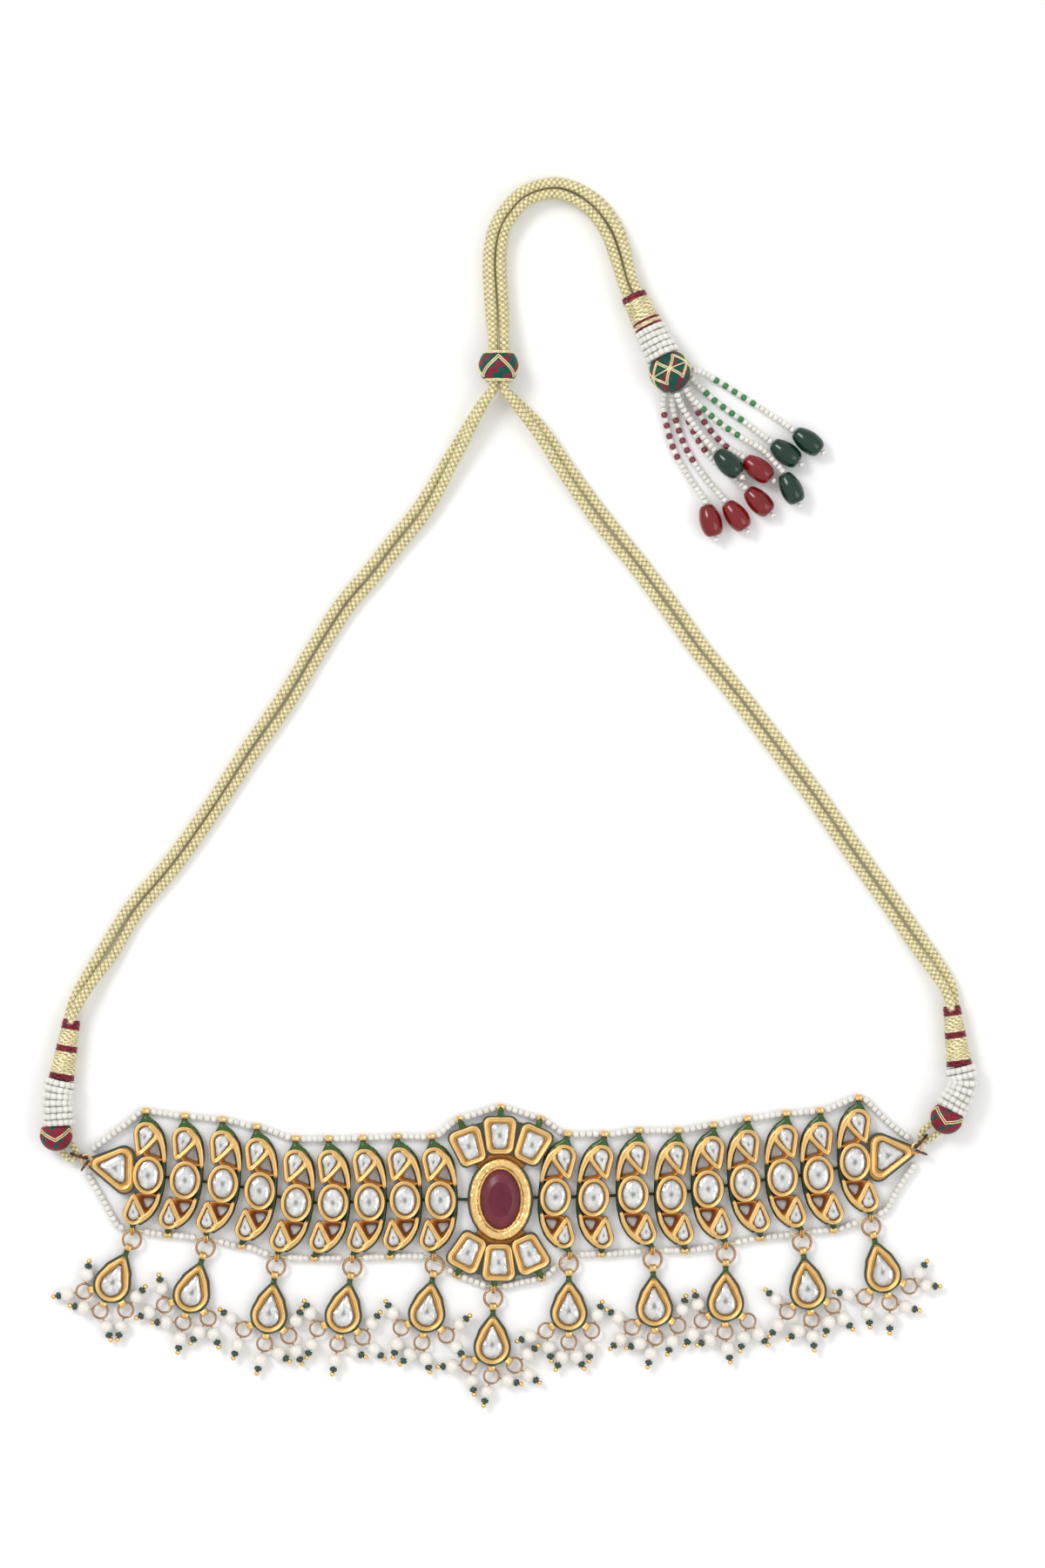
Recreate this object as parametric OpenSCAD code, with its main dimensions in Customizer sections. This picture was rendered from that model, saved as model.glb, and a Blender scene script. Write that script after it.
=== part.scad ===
// Kundan choker necklace with eleven pear drops, a looped draw cord, a slider bead and a tassel.
// It lies face up on a flat surface. The origin is the flat back of the centre medallion,
// under the middle of the ruby. X runs along the choker, Y points from the choker to the
// slider and the arch of the cord, and Z points up out of the stones. Millimetres.

/* [Settings] */
// Height of the enamelled back plate of each setting
plate_h = 1.7; // [1.2:0.1:2.2]
// Height of the gold frames round the stones
frame_h = 2.7; // [2.3:0.1:3.4]
// Floor of the stone seats above the surface
seat_z = 1.5; // [1.4:0.05:1.8]
// Side gap between a stone and the wall of its seat
stone_gap = 0.1; // [0.05:0.05:0.3]
// Enamel rim that shows outside a gold frame
rim = 0.5; // [0.3:0.05:0.7]
// Enamel rim where the neighbouring link is close
close_rim = 0.1; // [0.05:0.05:0.2]
// Height of a stone's table above its frame
stone_proud = 0.3; // [0.1:0.05:0.6]
// Share of a stone's outline that its table keeps
table_share = 0.6; // [0.45:0.05:0.7]

/* [Links] */
// Width of the oval frame in the middle of a link
oval_w = 7.0; // [6.4:0.1:7.2]
// Height of the oval frame
oval_h = 8.7; // [8:0.1:9.2]
// Width of the gold band round the stones of a link
band = 0.95; // [0.8:0.05:1.1]
// Head radius of the upper teardrop frame
upper_r = 2.7; // [2.3:0.05:2.8]
// Head radius of the lower teardrop frame
lower_r = 2.4; // [2.1:0.05:2.5]
// Half width of the pierced frame's bars at their thin end
bar_r = 0.45; // [0.35:0.05:0.55]
// Height of the top lug's centre above the oval's centre
top_lug_y = 14.3; // [14:0.1:15]
// Depth of the bottom lug's centre below the oval's centre
foot_lug_y = 12.6; // [12.4:0.1:13.2]

/* [Lugs and threads] */
// Outer radius of a thread lug
lug_r = 0.85; // [0.75:0.05:0.9]
// Radius of the hole in a thread lug
lug_bore = 0.45; // [0.4:0.05:0.5]
// Outer radius of a lug that also carries a jump ring
ring_lug_r = 1.1; // [1.05:0.05:1.2]
// Radius of the hole in a lug that also carries a jump ring
ring_lug_bore = 0.75; // [0.7:0.05:0.8]
// Length of a thread lug
lug_len = 1.4; // [1:0.1:1.8]
// Length of a lug that also carries a jump ring
ring_lug_len = 0.8; // [0.7:0.05:1]
// Radius of a border string of seed beads
bead_r = 0.85; // [0.7:0.05:0.88]
// Radius of the bare thread where it passes a lug
thread_r = 0.2; // [0.15:0.05:0.25]
// Height of the border strings above the surface
string_z = 0.95; // [0.9:0.05:1]
// Radius of the short tie threads between links
tie_r = 0.35; // [0.25:0.05:0.4]
// Gap round a tie thread in its side hole
tie_gap = 0.1; // [0.05:0.05:0.2]

/* [Centre medallion] */
// Width of the ruby's textured gold frame
ruby_frame_w = 13.9; // [13:0.1:14.2]
// Height of the ruby's textured gold frame
ruby_frame_h = 18.3; // [17.6:0.1:18.6]
// Width of the ruby
ruby_w = 8.9; // [8:0.1:10]
// Height of the ruby
ruby_h = 13.3; // [12:0.1:14.5]
// Corner radius of a petal's gold frame
petal_r = 1.2; // [1.1:0.05:1.4]

/* [Drops] */
// Head radius of a pear drop's gold frame
pear_r = 3.75; // [3.5:0.05:3.9]
// Distance from a drop's bail to the centre of its round head
pear_len = 9.0; // [8.6:0.1:9.4]
// Middle radius of a jump ring
jump_r = 2.03; // [1.95:0.01:2.1]
// Wire radius of a jump ring
jump_wire = 0.3; // [0.26:0.01:0.32]
// Middle radius of a small pearl ring
loop_r = 1.7; // [1.6:0.05:1.8]
// Wire radius of a small pearl ring
loop_wire = 0.25; // [0.2:0.01:0.28]
// Radius of a pearl
pearl_r = 1.65; // [1.4:0.05:1.7]
// Radius of the pin that carries a pearl
pin_r = 0.2; // [0.15:0.05:0.25]
// Radius of the gold ball at the end of a pin
ball_r = 0.6; // [0.5:0.05:0.7]
// Room for the green seed bead between a pearl and its gold ball
seed_room = 0.9; // [0.7:0.1:1.2]
// Angle between the bottom lug of a drop and each side lug
fan = 52; // [48:1:56]

/* [Cord, slider and tassel] */
// Diameter of one strand of the gold draw cord
strand_d = 2.2; // [2:0.1:2.3]
// Radius of the slider bead
slider_r = 4.5; // [4.4:0.1:5]
// Radius of the slider's hole
slider_bore = 2.95; // [2.9:0.05:3.2]
// Radius of the thread ball at each end of the choker
end_ball_r = 3.7; // [3.5:0.05:3.75]
// Radius of the seed bead sleeve at each end
sleeve_r = 3.65; // [3.4:0.05:3.7]
// Length of the thread wrap at each end
wrap_len = 13.5; // [12:0.1:13.6]
// Radius of the braid in the short end loops
braid_r = 0.75; // [0.6:0.05:0.8]
// Radius of the tassel's thread ball
tassel_ball_r = 4.7; // [4.4:0.05:4.75]
// Radius of a tassel string of seed beads
tassel_bead_r = 0.78; // [0.7:0.01:0.8]
// Greatest radius of a glass drop
glass_r = 2.5; // [2.2:0.05:2.55]
// Length of a glass drop
glass_len = 7.2; // [6.8:0.1:7.4]

/* [Hidden] */
$fn = 48;
clear = 0.12;
ring_z = 1.6;
// Corners of a stone, of a wide outline and of a narrow one
facets = 12;
head_corners = 28;
bar_corners = 12;
// Sides of a bead string, of the draw cord and of a bead sleeve
string_sides = 6;
cord_sides = 8;
sleeve_sides = 24;
gold = "#E3B659";
enamel = "#1F4A2A";
crystal = "#DDE3E8";
pearl_white = "#EFECE4";
bronze = "#7A5646";
ring_gold = "#C9976B";
zari = "#CFC385";
thread_red = "#8E2336";
glass_green = "#123F2A";

// One row per link from the centre outwards: distance from the middle, height of the oval,
// outward lean in degrees, and place of the bottom lug across the link
LEFT_LINKS = [
    [13.5, -0.2, 3.6, -2.2],
    [21.5, -0.2, 2.7, -4.0],
    [29.5, -0.6, 1.5, -4.2],
    [37.7, -0.8, -0.4, -4.2],
    [46.0, -0.8, -4.0, -3.5],
    [54.2, 1.9, -1.5, -3.8],
    [62.5, 3.5, -4.0, -2.9],
    [71.0, 4.3, -4.0, -3.1],
    [79.3, 5.4, -2.2, -3.1]];
RIGHT_LINKS = [
    [12.4, 0.5, 6.5, -4.7],
    [21.0, 0.4, 5.5, -2.9],
    [29.9, 1.1, 0.8, -4.6],
    [38.5, 1.1, 2.0, -3.5],
    [46.8, 2.3, 0.4, -4.1],
    [55.1, 3.7, -2.0, -3.0],
    [63.5, 4.9, -0.5, -4.3],
    [71.6, 5.5, -2.4, -2.9],
    [79.8, 8.4, -0.5, -3.6]];
LINKS = len(LEFT_LINKS);

// One row per drop from left to right: side, link that carries it, swing in degrees, the two pin
// directions of its left, bottom and right ring, and how far each of the six pearls is lifted
DROPS = [
    [-1, 9, -24.0, [80, 190], [170, 290], [255, 50], [0, 0, 0, 0, 0, 0]],
    [-1, 7, -16.6, [100, 205], [180, 260], [235, 290], [0, 0, 0, 0, 0, 0]],
    [-1, 5, -8.4, [140, 250], [255, 325], [65, 295], [0, 0, 0, 0, 0, 0]],
    [-1, 3, -10.8, [115, 250], [260, 335], [315, 55], [0, 0, 0, 0, 0, 0]],
    [-1, 1, -9.5, [120, 255], [225, 285], [310, 40], [0, 0, 0, 0, 1.2, 0]],
    [0, 0, -1.3, [185, 280], [255, 345], [325, 40], [0, 0, 0, 0, 0, 0]],
    [1, 1, 0.0, [200, 280], [245, 300], [265, 70], [0, 0, 0, 0, 0, 0]],
    [1, 3, 2.0, [145, 225], [200, 255], [250, 75], [0, 0, 0, 0, 0, 0]],
    [1, 5, -0.7, [105, 235], [205, 280], [255, 310], [0, 0, 0, 0, 0, 0]],
    [1, 7, 7.0, [135, 235], [220, 275], [255, 310], [0, 0, 0, 0, 0, 0]],
    [1, 9, 13.7, [170, 280], [270, 345], [0, 55], [0, 0, 0, 0, 0, 0]]];

// Petals of the centre medallion: across, up and turn of each, and the corner circles of the frame
// and of the stone in one petal
PETALS = [[-0.1, 14.35, 0], [-7.1, 11.9, 20], [7.1, 12.2, -25],
    [-0.4, -14.2, 180], [-7.3, -11.9, 152], [6.5, -12.3, 204]];
PETAL = [[-2.3, 2.7], [2.3, 2.7], [1.65, -2.8], [-1.65, -2.8]];
PETAL_STONE = [[-1.3, 1.95], [1.3, 1.95], [0.8, -2.1], [-0.8, -2.1]];
petal_stone_r = 0.85;
// Thread lugs of the medallion: across, up, turn, and the root of the neck that carries it
CENTRE_TOP = [[-9.2, 17.9, 18, -8.2, 15.4], [0.1, 20.6, 0, 0, 17.6], [9.1, 18.0, -18, 8.2, 15.4]];
CENTRE_FOOT = [[-9.8, -17.1, -20, -8.4, -14.6], [9.3, -17.8, 15, 7.8, -15.0]];
CENTRE_RING = [-1.6, -20.2, 0, -1.0, -17.2];
CENTRE_TOP_FIELD = [[-8.6, 14.6, 1.4], [0, 17.2, 1.3], [8.6, 14.6, 1.4], [5.2, 8.6, 1.2], [-5.2, 8.6, 1.2]];
CENTRE_FOOT_FIELD = [[-8.6, -14.6, 1.3], [-0.8, -16.8, 1.3], [8.0, -15.1, 1.3], [5.2, -8.6, 1.2],
    [-5.4, -8.6, 1.2]];
ruby_facets = 20;
ruby_girdle = 2.6;
ruby_top = 4.2;

// Shapes of one link with the centre of the necklace on its right: across, up, radius
top_lug_x = -1.1;
lug_neck = 0.5;
foot_peak_r = 1.0;
UPPER_HEAD = [-0.9, 9.2, upper_r];
UPPER_TIP = [-2.5, 4.7, bar_r];
UPPER_SEAT = [[-0.85, 9.4, upper_r - band], [-1.7, 6.0, 0.35]];
LOWER_HEAD = [-2.95, -8.85, lower_r];
LOWER_TIP = [-3.1, -4.5, bar_r];
LOWER_SEAT = [[-2.95, -8.95, lower_r - band], [-3.1, -6.0, 0.35]];
TOP_PEAK = [[-2.4, 10.5, 0.6], [top_lug_x, top_lug_y - 1, lug_neck], [1.2, 11.0, 0.9]];
UPPER_ARM = [[0.3, 11.1, 0.7], [2.1, 9.1, 0.75], [3.0, 6.8, 0.6], [3.4, 4.8, 0.5], [3.5, 3.4, 0.42]];
UPPER_BAR = [[1.9, 9.0, 0.55], [-0.4, 6.4, 0.5], [-2.5, 4.6, 0.42]];
LOWER_ARM = [[2.6, -4.3, 0.42], [2.0, -6.4, 0.5], [0.6, -8.6, 0.6], [-1.4, -10.2, 0.7]];
LOWER_BAR = [[-3.1, -4.5, 0.42], [-2.2, -6.4, 0.5], [-0.9, -8.7, 0.6]];
BACK_RIDGE = [[0.6, 11.3, 1.05], [2.2, 9.2, 1.0], [2.95, 6.8, 0.9], [3.25, 4.8, 0.75], [3.3, 3.2, 0.65],
    [3.35, 0.2, 0.6], [3.1, -2.8, 0.6], [2.6, -4.5, 0.75], [1.9, -6.6, 0.8], [0.5, -8.9, 0.8],
    [-1.5, -10.5, 0.8]];
TRIANGLE = [[-11.9, 2.2, 1.3], [-5.6, 3.9, 2.1], [-5.3, -2.1, 2.0]];
TRIANGLE_STONE = [[-10.7, 1.8, 0.5], [-6.3, 3.5, 1.1], [-6.05, -1.0, 1.0]];
apex_lug = [-14.0, 2.9];
apex_lug_r = 1.35;
apex_lug_h = 0.8;
apex_bore = 0.95;
ring_lug_z = 1.3;
hole_len = lug_len + 2 * rim;
tie_z = 0.85;
tie_in_centre = 5.8;
tie_in_side = 2.6;
tie_in_ridge = 2.6;

// Ends of the two border strings beyond the outermost lugs
TOP_START = [[-92.2, 11.0], [-90.2, 12.4], [-87.8, 14.2], [-85.3, 16.1], [-82.9, 17.9]];
TOP_END = [[83.3, 21.3], [85.4, 19.1], [87.7, 17.0], [90.0, 15.1], [92.1, 13.6]];
FOOT_START = [[-93.0, 5.5], [-91.6, 3.3], [-90.0, 0.7], [-88.2, -2.6], [-86.2, -6.0]];
FOOT_END = [[87.0, -2.4], [88.9, 1.2], [91.0, 4.4], [92.5, 6.4], [93.4, 7.9]];

// Shapes of one drop, hanging down from the middle of its bail: across, up, radius
PEAR_FRAME = [[0, -pear_len, pear_r], [0, -6.6, 2.95], [0, -2.7, 0.6]];
PEAR_STONE = [[0, -pear_len - 0.2, pear_r - 1.25], [0, -4.4, 0.35]];
bail_r = 0.95;
bail_bore = 0.55;
bail_neck = 0.75;
side_lug_at = 4.85;
side_lug_r = 0.85;
side_lug_bore = 0.5;
loop_reach = 6.55;
pearl_at = 3.75;
pearl_z = pearl_r + 0.05;

// One row per end of the choker: side, direction from the apex lug to the braid loop, centre
// of the thread ball, foot, bend and top of the bead sleeve, direction of the wrap
ENDS = [
    [-1, 164, [-99.9, 14.6], [-99.3, 16.6], [-99.6, 22.6], [-98.8, 27.0], 80],
    [1, 48, [100.4, 18.4], [101.2, 20.2], [103.9, 25.6], [103.3, 30.0], 97.5]];
end_ring_r = 1.85;
end_ring_wire = 0.35;
end_link_r = 1.25;
end_link_wire = 0.25;
end_shift = 0.44;
end_fork = 70;
end_z = 2.25;
braid_bend_r = 1.3;
sleeve_z = end_ball_r + 0.05;
wrap_z = 3.0;
wrap_foot_r = 2.9;
wrap_top_r = 1.95;

// Slider and tassel
slider_at = [-0.4, 187.3, slider_r + 0.05];
tassel_top = [29.9, 203.4, 3.1];
tassel_dir = [0.4305, -0.9026, 0.0885];
tassel_wrap_len = 8.1;
tassel_sleeve_len = 7.4;
tassel_ball_at = 19.2;
TASSEL_RADII = [2.85, 3.3, 3.65, 4.25];

// Routes of the four strands, chosen by eye along the cord from the end wrap through the
// slider and round the arch to the tassel
LEFT_A = [[-97.1, 41.0, 1.9], [-95.8, 45.5, 1.8], [-92.5, 51.5, 1.4], [-89.5, 56.5, 1.15],
    [-83.5, 66.0, 1.15], [-75.0, 76.0, 1.15], [-66.0, 88.5, 1.15], [-57.5, 101.5, 1.15],
    [-49.5, 113.0, 1.15], [-42.5, 124.5, 1.15], [-36.0, 134.5, 1.15], [-30.5, 141.0, 1.15],
    [-25.0, 148.0, 1.15], [-18.5, 156.0, 1.2], [-12.0, 166.5, 1.5], [-6.5, 175.5, 2.3],
    [-3.2, 180.4, 3.0], [-1.6, 182.8, 3.4], [-1.6, 191.8, 3.4], [-1.8, 194.6, 2.9],
    [-2.4, 200.0, 1.7], [-2.8, 206.0, 1.2], [-2.9, 211.5, 1.15], [-2.0, 217.5, 1.15],
    [0.5, 222.5, 1.15], [5.0, 227.0, 1.15], [11.5, 229.0, 1.15], [17.0, 228.0, 1.15],
    [22.5, 224.5, 1.15], [26.2, 219.5, 1.15], [28.1, 214.5, 1.15], [29.1, 210.0, 1.3],
    [29.8, 206.7, 1.6], [30.8, 204.3, 1.85]];
LEFT_B = [[-96.2, 41.2, 4.15], [-94.3, 45.0, 3.8], [-90.5, 50.5, 2.6], [-86.8, 55.5, 1.6],
    [-81.4, 64.5, 1.15], [-72.4, 75.3, 1.15], [-63.6, 87.7, 1.15], [-55.2, 100.3, 1.15],
    [-47.2, 111.7, 1.15], [-40.4, 123.0, 1.15], [-34.0, 132.9, 1.15], [-28.2, 139.7, 1.2],
    [-22.9, 146.5, 1.4], [-16.2, 155.0, 2.0], [-10.6, 165.5, 3.2], [-5.8, 175.0, 4.6],
    [-3.0, 180.2, 5.4], [-1.6, 182.8, 5.75], [-1.6, 191.8, 5.75], [-1.7, 194.6, 5.2],
    [-1.8, 200.0, 4.1], [-2.2, 206.0, 3.5], [-2.4, 211.4, 3.5], [-1.6, 217.2, 3.5],
    [0.8, 222.2, 3.5], [5.2, 226.7, 3.5], [11.5, 228.6, 3.5], [16.8, 227.6, 3.5],
    [21.9, 224.0, 3.5], [25.7, 219.1, 3.5], [27.7, 214.3, 3.5], [28.9, 210.0, 3.7],
    [29.8, 206.7, 4.0], [30.8, 204.3, 4.25]];
RIGHT_A = [[102.2, 44.0, 1.9], [101.6, 48.0, 1.8], [98.6, 53.5, 1.4], [94.8, 59.0, 1.15],
    [90.0, 66.0, 1.15], [81.0, 78.5, 1.15], [72.6, 90.5, 1.15], [63.5, 102.5, 1.15],
    [54.0, 114.8, 1.15], [46.0, 124.5, 1.15], [39.6, 133.4, 1.15], [32.0, 143.5, 1.15],
    [24.0, 153.5, 1.15], [16.5, 163.5, 1.3], [9.5, 173.5, 2.0], [3.2, 180.0, 3.0],
    [0.8, 182.8, 3.4], [0.8, 191.8, 3.4], [0.9, 194.6, 2.9], [0.9, 200.0, 1.7],
    [0.5, 206.0, 1.2], [0.3, 211.5, 1.15], [0.8, 216.8, 1.15], [2.2, 220.6, 1.15],
    [6.0, 224.6, 1.15], [11.5, 226.2, 1.15], [16.0, 225.2, 1.15], [20.5, 221.9, 1.15],
    [23.8, 217.0, 1.15], [25.6, 212.0, 1.15], [26.7, 208.8, 1.3], [27.6, 205.7, 1.6],
    [28.65, 203.3, 1.85]];
RIGHT_B = [[101.2, 44.0, 4.15], [99.9, 47.5, 3.7], [96.4, 52.5, 2.6], [92.4, 58.0, 1.6],
    [87.8, 64.7, 1.15], [78.8, 77.2, 1.15], [70.5, 89.1, 1.15], [61.5, 101.0, 1.15],
    [52.1, 113.2, 1.15], [44.0, 123.0, 1.15], [37.6, 131.8, 1.15], [30.2, 141.8, 1.2],
    [22.4, 151.4, 1.6], [15.2, 161.5, 2.6], [8.6, 171.8, 4.2], [2.8, 179.6, 5.4],
    [0.8, 182.8, 5.75], [0.8, 191.8, 5.75], [0.8, 194.6, 5.2], [0.6, 200.0, 4.1],
    [0.2, 206.0, 3.5], [0.0, 211.6, 3.5], [0.7, 216.8, 3.5], [2.4, 220.4, 3.5],
    [6.1, 224.5, 3.5], [11.5, 226.2, 3.5], [16.0, 225.2, 3.5], [20.6, 221.9, 3.5],
    [23.9, 217.1, 3.5], [25.8, 212.1, 3.5], [26.7, 208.8, 3.7], [27.6, 205.7, 4.0],
    [28.65, 203.3, 4.25]];

// Routes of the tassel's strings from the thread ball to the glass drop that each one carries.
// The last two points give the place and the direction of the drop
TASSEL_STRINGS = [
    [[37.1, 181.8, 2.7], [36.6, 178.8, 1.5], [37.4, 174.5, 0.9], [38.6, 170.0, 0.9], [40.4, 166.0, 0.9],
        [42.6, 162.4, 0.9], [44.6, 159.4, 1.4], [45.9, 157.3, 2.65], [46.2, 156.3, 2.65]],
    [[38.8, 181.6, 2.7], [38.8, 178.6, 1.5], [39.8, 174.5, 0.9], [41.4, 170.0, 0.9], [43.6, 166.0, 0.9],
        [46.2, 162.4, 0.9], [48.6, 159.6, 1.4], [50.2, 157.6, 2.65], [50.8, 156.8, 2.65]],
    [[40.5, 182.2, 2.7], [40.9, 179.2, 1.5], [42.4, 175.2, 0.9], [44.4, 171.2, 0.9], [47.0, 167.4, 0.9],
        [50.0, 164.4, 0.9], [53.2, 161.8, 1.0], [54.8, 160.4, 2.65], [55.5, 159.7, 2.65]],
    [[42.2, 183.0, 2.6], [42.8, 180.5, 1.5], [44.8, 176.8, 0.9], [47.4, 173.0, 0.9], [50.0, 170.2, 0.9],
        [52.4, 168.4, 1.2], [54.2, 167.2, 2.65], [55.0, 166.6, 2.65]],
    [[39.6, 181.4, 5.5], [40.6, 178.6, 4.8], [43.0, 175.0, 3.6], [45.4, 171.8, 3.2], [47.6, 169.2, 3.5],
        [48.6, 168.2, 3.6]],
    [[41.4, 182.4, 5.5], [43.2, 179.9, 4.8], [46.8, 176.8, 3.4], [50.6, 173.8, 2.7], [54.6, 171.2, 2.7],
        [59.0, 168.6, 2.9], [61.9, 165.5, 3.5], [63.2, 164.3, 3.1], [63.7, 163.3, 3.1]],
    [[42.8, 185.1, 2.7], [44.4, 183.4, 1.5], [47.6, 180.4, 0.9], [51.2, 177.6, 0.9], [55.0, 175.0, 0.9],
        [58.4, 172.4, 1.4], [60.4, 170.8, 2.65], [61.2, 170.2, 2.65]],
    [[43.1, 186.5, 4.0], [45.4, 186.0, 2.6], [49.4, 183.9, 0.9], [54.0, 181.0, 0.9], [58.8, 178.0, 0.9],
        [63.0, 175.2, 1.4], [65.4, 173.4, 2.65], [66.2, 172.8, 2.65]]];
// Profile of a glass drop: share of its length and share of its greatest radius
GLASS = [[0, 0.42], [0.04, 0.58], [0.14, 0.74], [0.36, 0.94], [0.6, 1], [0.82, 0.9], [0.95, 0.7], [1, 0.48]];
// Glass drops that are dark red; the others are dark green
RED_GLASS = [0, 1, 2, 3];

function unit(v) = v / norm(v);
function turn(p, a) = [p[0] * cos(a) - p[1] * sin(a), p[0] * sin(a) + p[1] * cos(a)];
function rows_of(side) = side < 0 ? LEFT_LINKS : RIGHT_LINKS;
function carries_drop(k) = k % 2 == 1;
function grown(rows, by) = [for (r = rows) [r[0], r[1], r[2] + by]];

// A point of one link, given from the middle of its oval, in the frame of the necklace
function at(side, row, p) = let (q = turn(p, row[2]), u = q[0] - row[0], v = q[1] + row[1])
    [-side * u, v];

// Places of the lugs along the two border strings
function top_lug(side, k) = at(side, rows_of(side)[k - 1], [top_lug_x, top_lug_y]);
function foot_lug(side, k) = let (row = rows_of(side)[k - 1]) at(side, row, [row[3], -foot_lug_y]);

// Places of a drop: lug that carries it, jump ring, bail, head and the small rings
function drop_lug(d) = d[0] == 0 ? [CENTRE_RING[0], CENTRE_RING[1]] : foot_lug(d[0], d[1]);
function drop_up(d) = d[0] == 0 ? [0, 1]
    : let (row = rows_of(d[0])[d[1] - 1]) at(d[0], row, [0, 1]) - at(d[0], row, [0, 0]);
function drop_down(d) = [sin(d[2]), -cos(d[2])];
function jump_at(d) = drop_lug(d) - jump_r * drop_up(d);
function bail_at(d) = jump_at(d) + jump_r * drop_down(d);
function loop_at(d, j) = bail_at(d) + pear_len * drop_down(d)
    + loop_reach * [cos(d[2] - 90 + (j - 1) * fan), sin(d[2] - 90 + (j - 1) * fan)];

// A pin: its foot on the ring, and the unit vector along it
function pin_foot(d, j, m) = let (a = d[3 + j][m], c = loop_at(d, j))
    [c[0] + loop_r * cos(a), c[1] + loop_r * sin(a), ring_z];
function pin_along(d, j, m) = let (a = d[3 + j][m], reach = pearl_at - loop_r)
    unit([reach * cos(a), reach * sin(a), pearl_z - ring_z + d[6][2 * j + m]]);

// The tie thread between one setting and the next one outwards
function oval_middle(side, k) = k == 0 ? [0, 0] : at(side, rows_of(side)[k - 1], [0, 0]);
function tie_ends(side, k, more) = let (a = oval_middle(side, k - 1), b = oval_middle(side, k),
    u = unit(b - a), start = k == 1 ? tie_in_centre : tie_in_side)
    [a + (start - more) * u, b - (tie_in_ridge - more) * u];

// Corner points of a stone's outline: the outermost point of its rounded corners in each direction
function outermost(rows, d) = let (reach = [for (r = rows) r[0] * d[0] + r[1] * d[1] + r[2]],
    r = rows[search(max(reach), reach)[0]])
    [r[0] + r[2] * d[0], r[1] + r[2] * d[1]];
function rounded_outline(rows, n) = [for (i = [0:n - 1]) let (a = (i + 0.5) * 360 / n)
    outermost(rows, [cos(a), sin(a)])];
function oval_outline(w, h, n) = [for (i = [0:n - 1]) let (a = (i + 0.5) * 360 / n)
    [w / 2 * cos(a), h / 2 * sin(a)]];
function shrunk(points, middle, share) = [for (p = points) middle + share * (p - middle)];

// Faces of a body that is lofted through closed rings of n points each
function ring_faces(rings, n) = concat([[for (j = [0:n - 1]) j]],
    [for (i = [0:rings - 2], j = [0:n - 1]) let (k = (j + 1) % n, a = i * n, b = a + n) [a + j, b + j, b + k]],
    [for (i = [0:rings - 2], j = [0:n - 1]) let (k = (j + 1) % n, a = i * n, b = a + n) [a + j, b + k, a + k]],
    [[for (j = [n - 1:-1:0]) (rings - 1) * n + j]]);

module loft(rings) {
    n = len(rings[0]);
    polyhedron([for (ring = rings) each ring], ring_faces(len(rings), n));
}

// A stone: slanted base, girdle and flat table
module cut_stone(outline, middle, height) {
    levels = [[seat_z + 0.1, 0.88], [height - stone_proud - 0.3, 1], [height, table_share]];
    loft([for (v = levels) [for (p = shrunk(outline, middle, v[1])) [p[0], p[1], v[0]]]]);
}

// A tube along points of its own, each with its own radius
module sweep(path, radii, sides) {
    last = len(path) - 1;
    loft([for (i = [0:last])
        let (t = unit(path[min(i + 1, last)] - path[max(i - 1, 0)]), e = unit(cross([0, 0, 1], t)), f = cross(t, e))
        [for (j = [0:sides - 1]) let (a = (j + 0.5) * 360 / sides) path[i] + radii[i] * (cos(a) * e + sin(a) * f)]]);
}

// A straight rod or cone from one point to another
module rod(a, b, ra, rb) {
    d = b - a;
    translate(a) rotate([0, acos(d[2] / norm(d)), atan2(d[1], d[0])]) cylinder(h = norm(d), r1 = ra, r2 = rb);
}

// Flat outlines: one body round a ring of circles, a row of such bodies, and an oval
function corners_for(rows) = max([for (r = rows) r[2]]) > 1.1 ? head_corners : bar_corners;

module blob(rows) {
    polygon(rounded_outline(rows, corners_for(rows)));
}

module chain(rows) {
    for (i = [0:len(rows) - 2]) blob([rows[i], rows[i + 1]]);
}

module oval(w, h) {
    polygon(oval_outline(w, h, head_corners));
}

// A lug: a short tube along X, and the hole through it
module lug(x, y, z, angle, r, long = lug_len) {
    translate([x, y, z]) rotate([0, 0, angle]) rotate([0, 90, 0])
        cylinder(h = long, r = r, center = true);
}

module place(side, row) {
    mirror([side > 0 ? 1 : 0, 0, 0]) translate([-row[0], row[1], 0]) rotate(row[2]) children();
}

module tie_bore(side, k) {
    e = tie_ends(side, k, tie_gap);
    rod([e[0][0], e[0][1], tie_z], [e[1][0], e[1][1], tie_z], tie_r + tie_gap, tie_r + tie_gap);
}

module link_plate(foot) {
    oval(oval_w + 2 * close_rim, oval_h + 2 * close_rim);
    chain(grown([UPPER_HEAD, UPPER_TIP], close_rim));
    chain(grown([LOWER_HEAD, LOWER_TIP], close_rim));
    chain(BACK_RIDGE);
    blob(TOP_PEAK);
    blob([[LOWER_HEAD[0], LOWER_HEAD[1], foot_peak_r], [foot, -foot_lug_y, lug_neck]]);
}

module link_frame() {
    oval(oval_w, oval_h);
    chain([UPPER_HEAD, UPPER_TIP]);
    chain([LOWER_HEAD, LOWER_TIP]);
    chain(UPPER_ARM);
    chain(UPPER_BAR);
    chain(LOWER_ARM);
    chain(LOWER_BAR);
}

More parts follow.
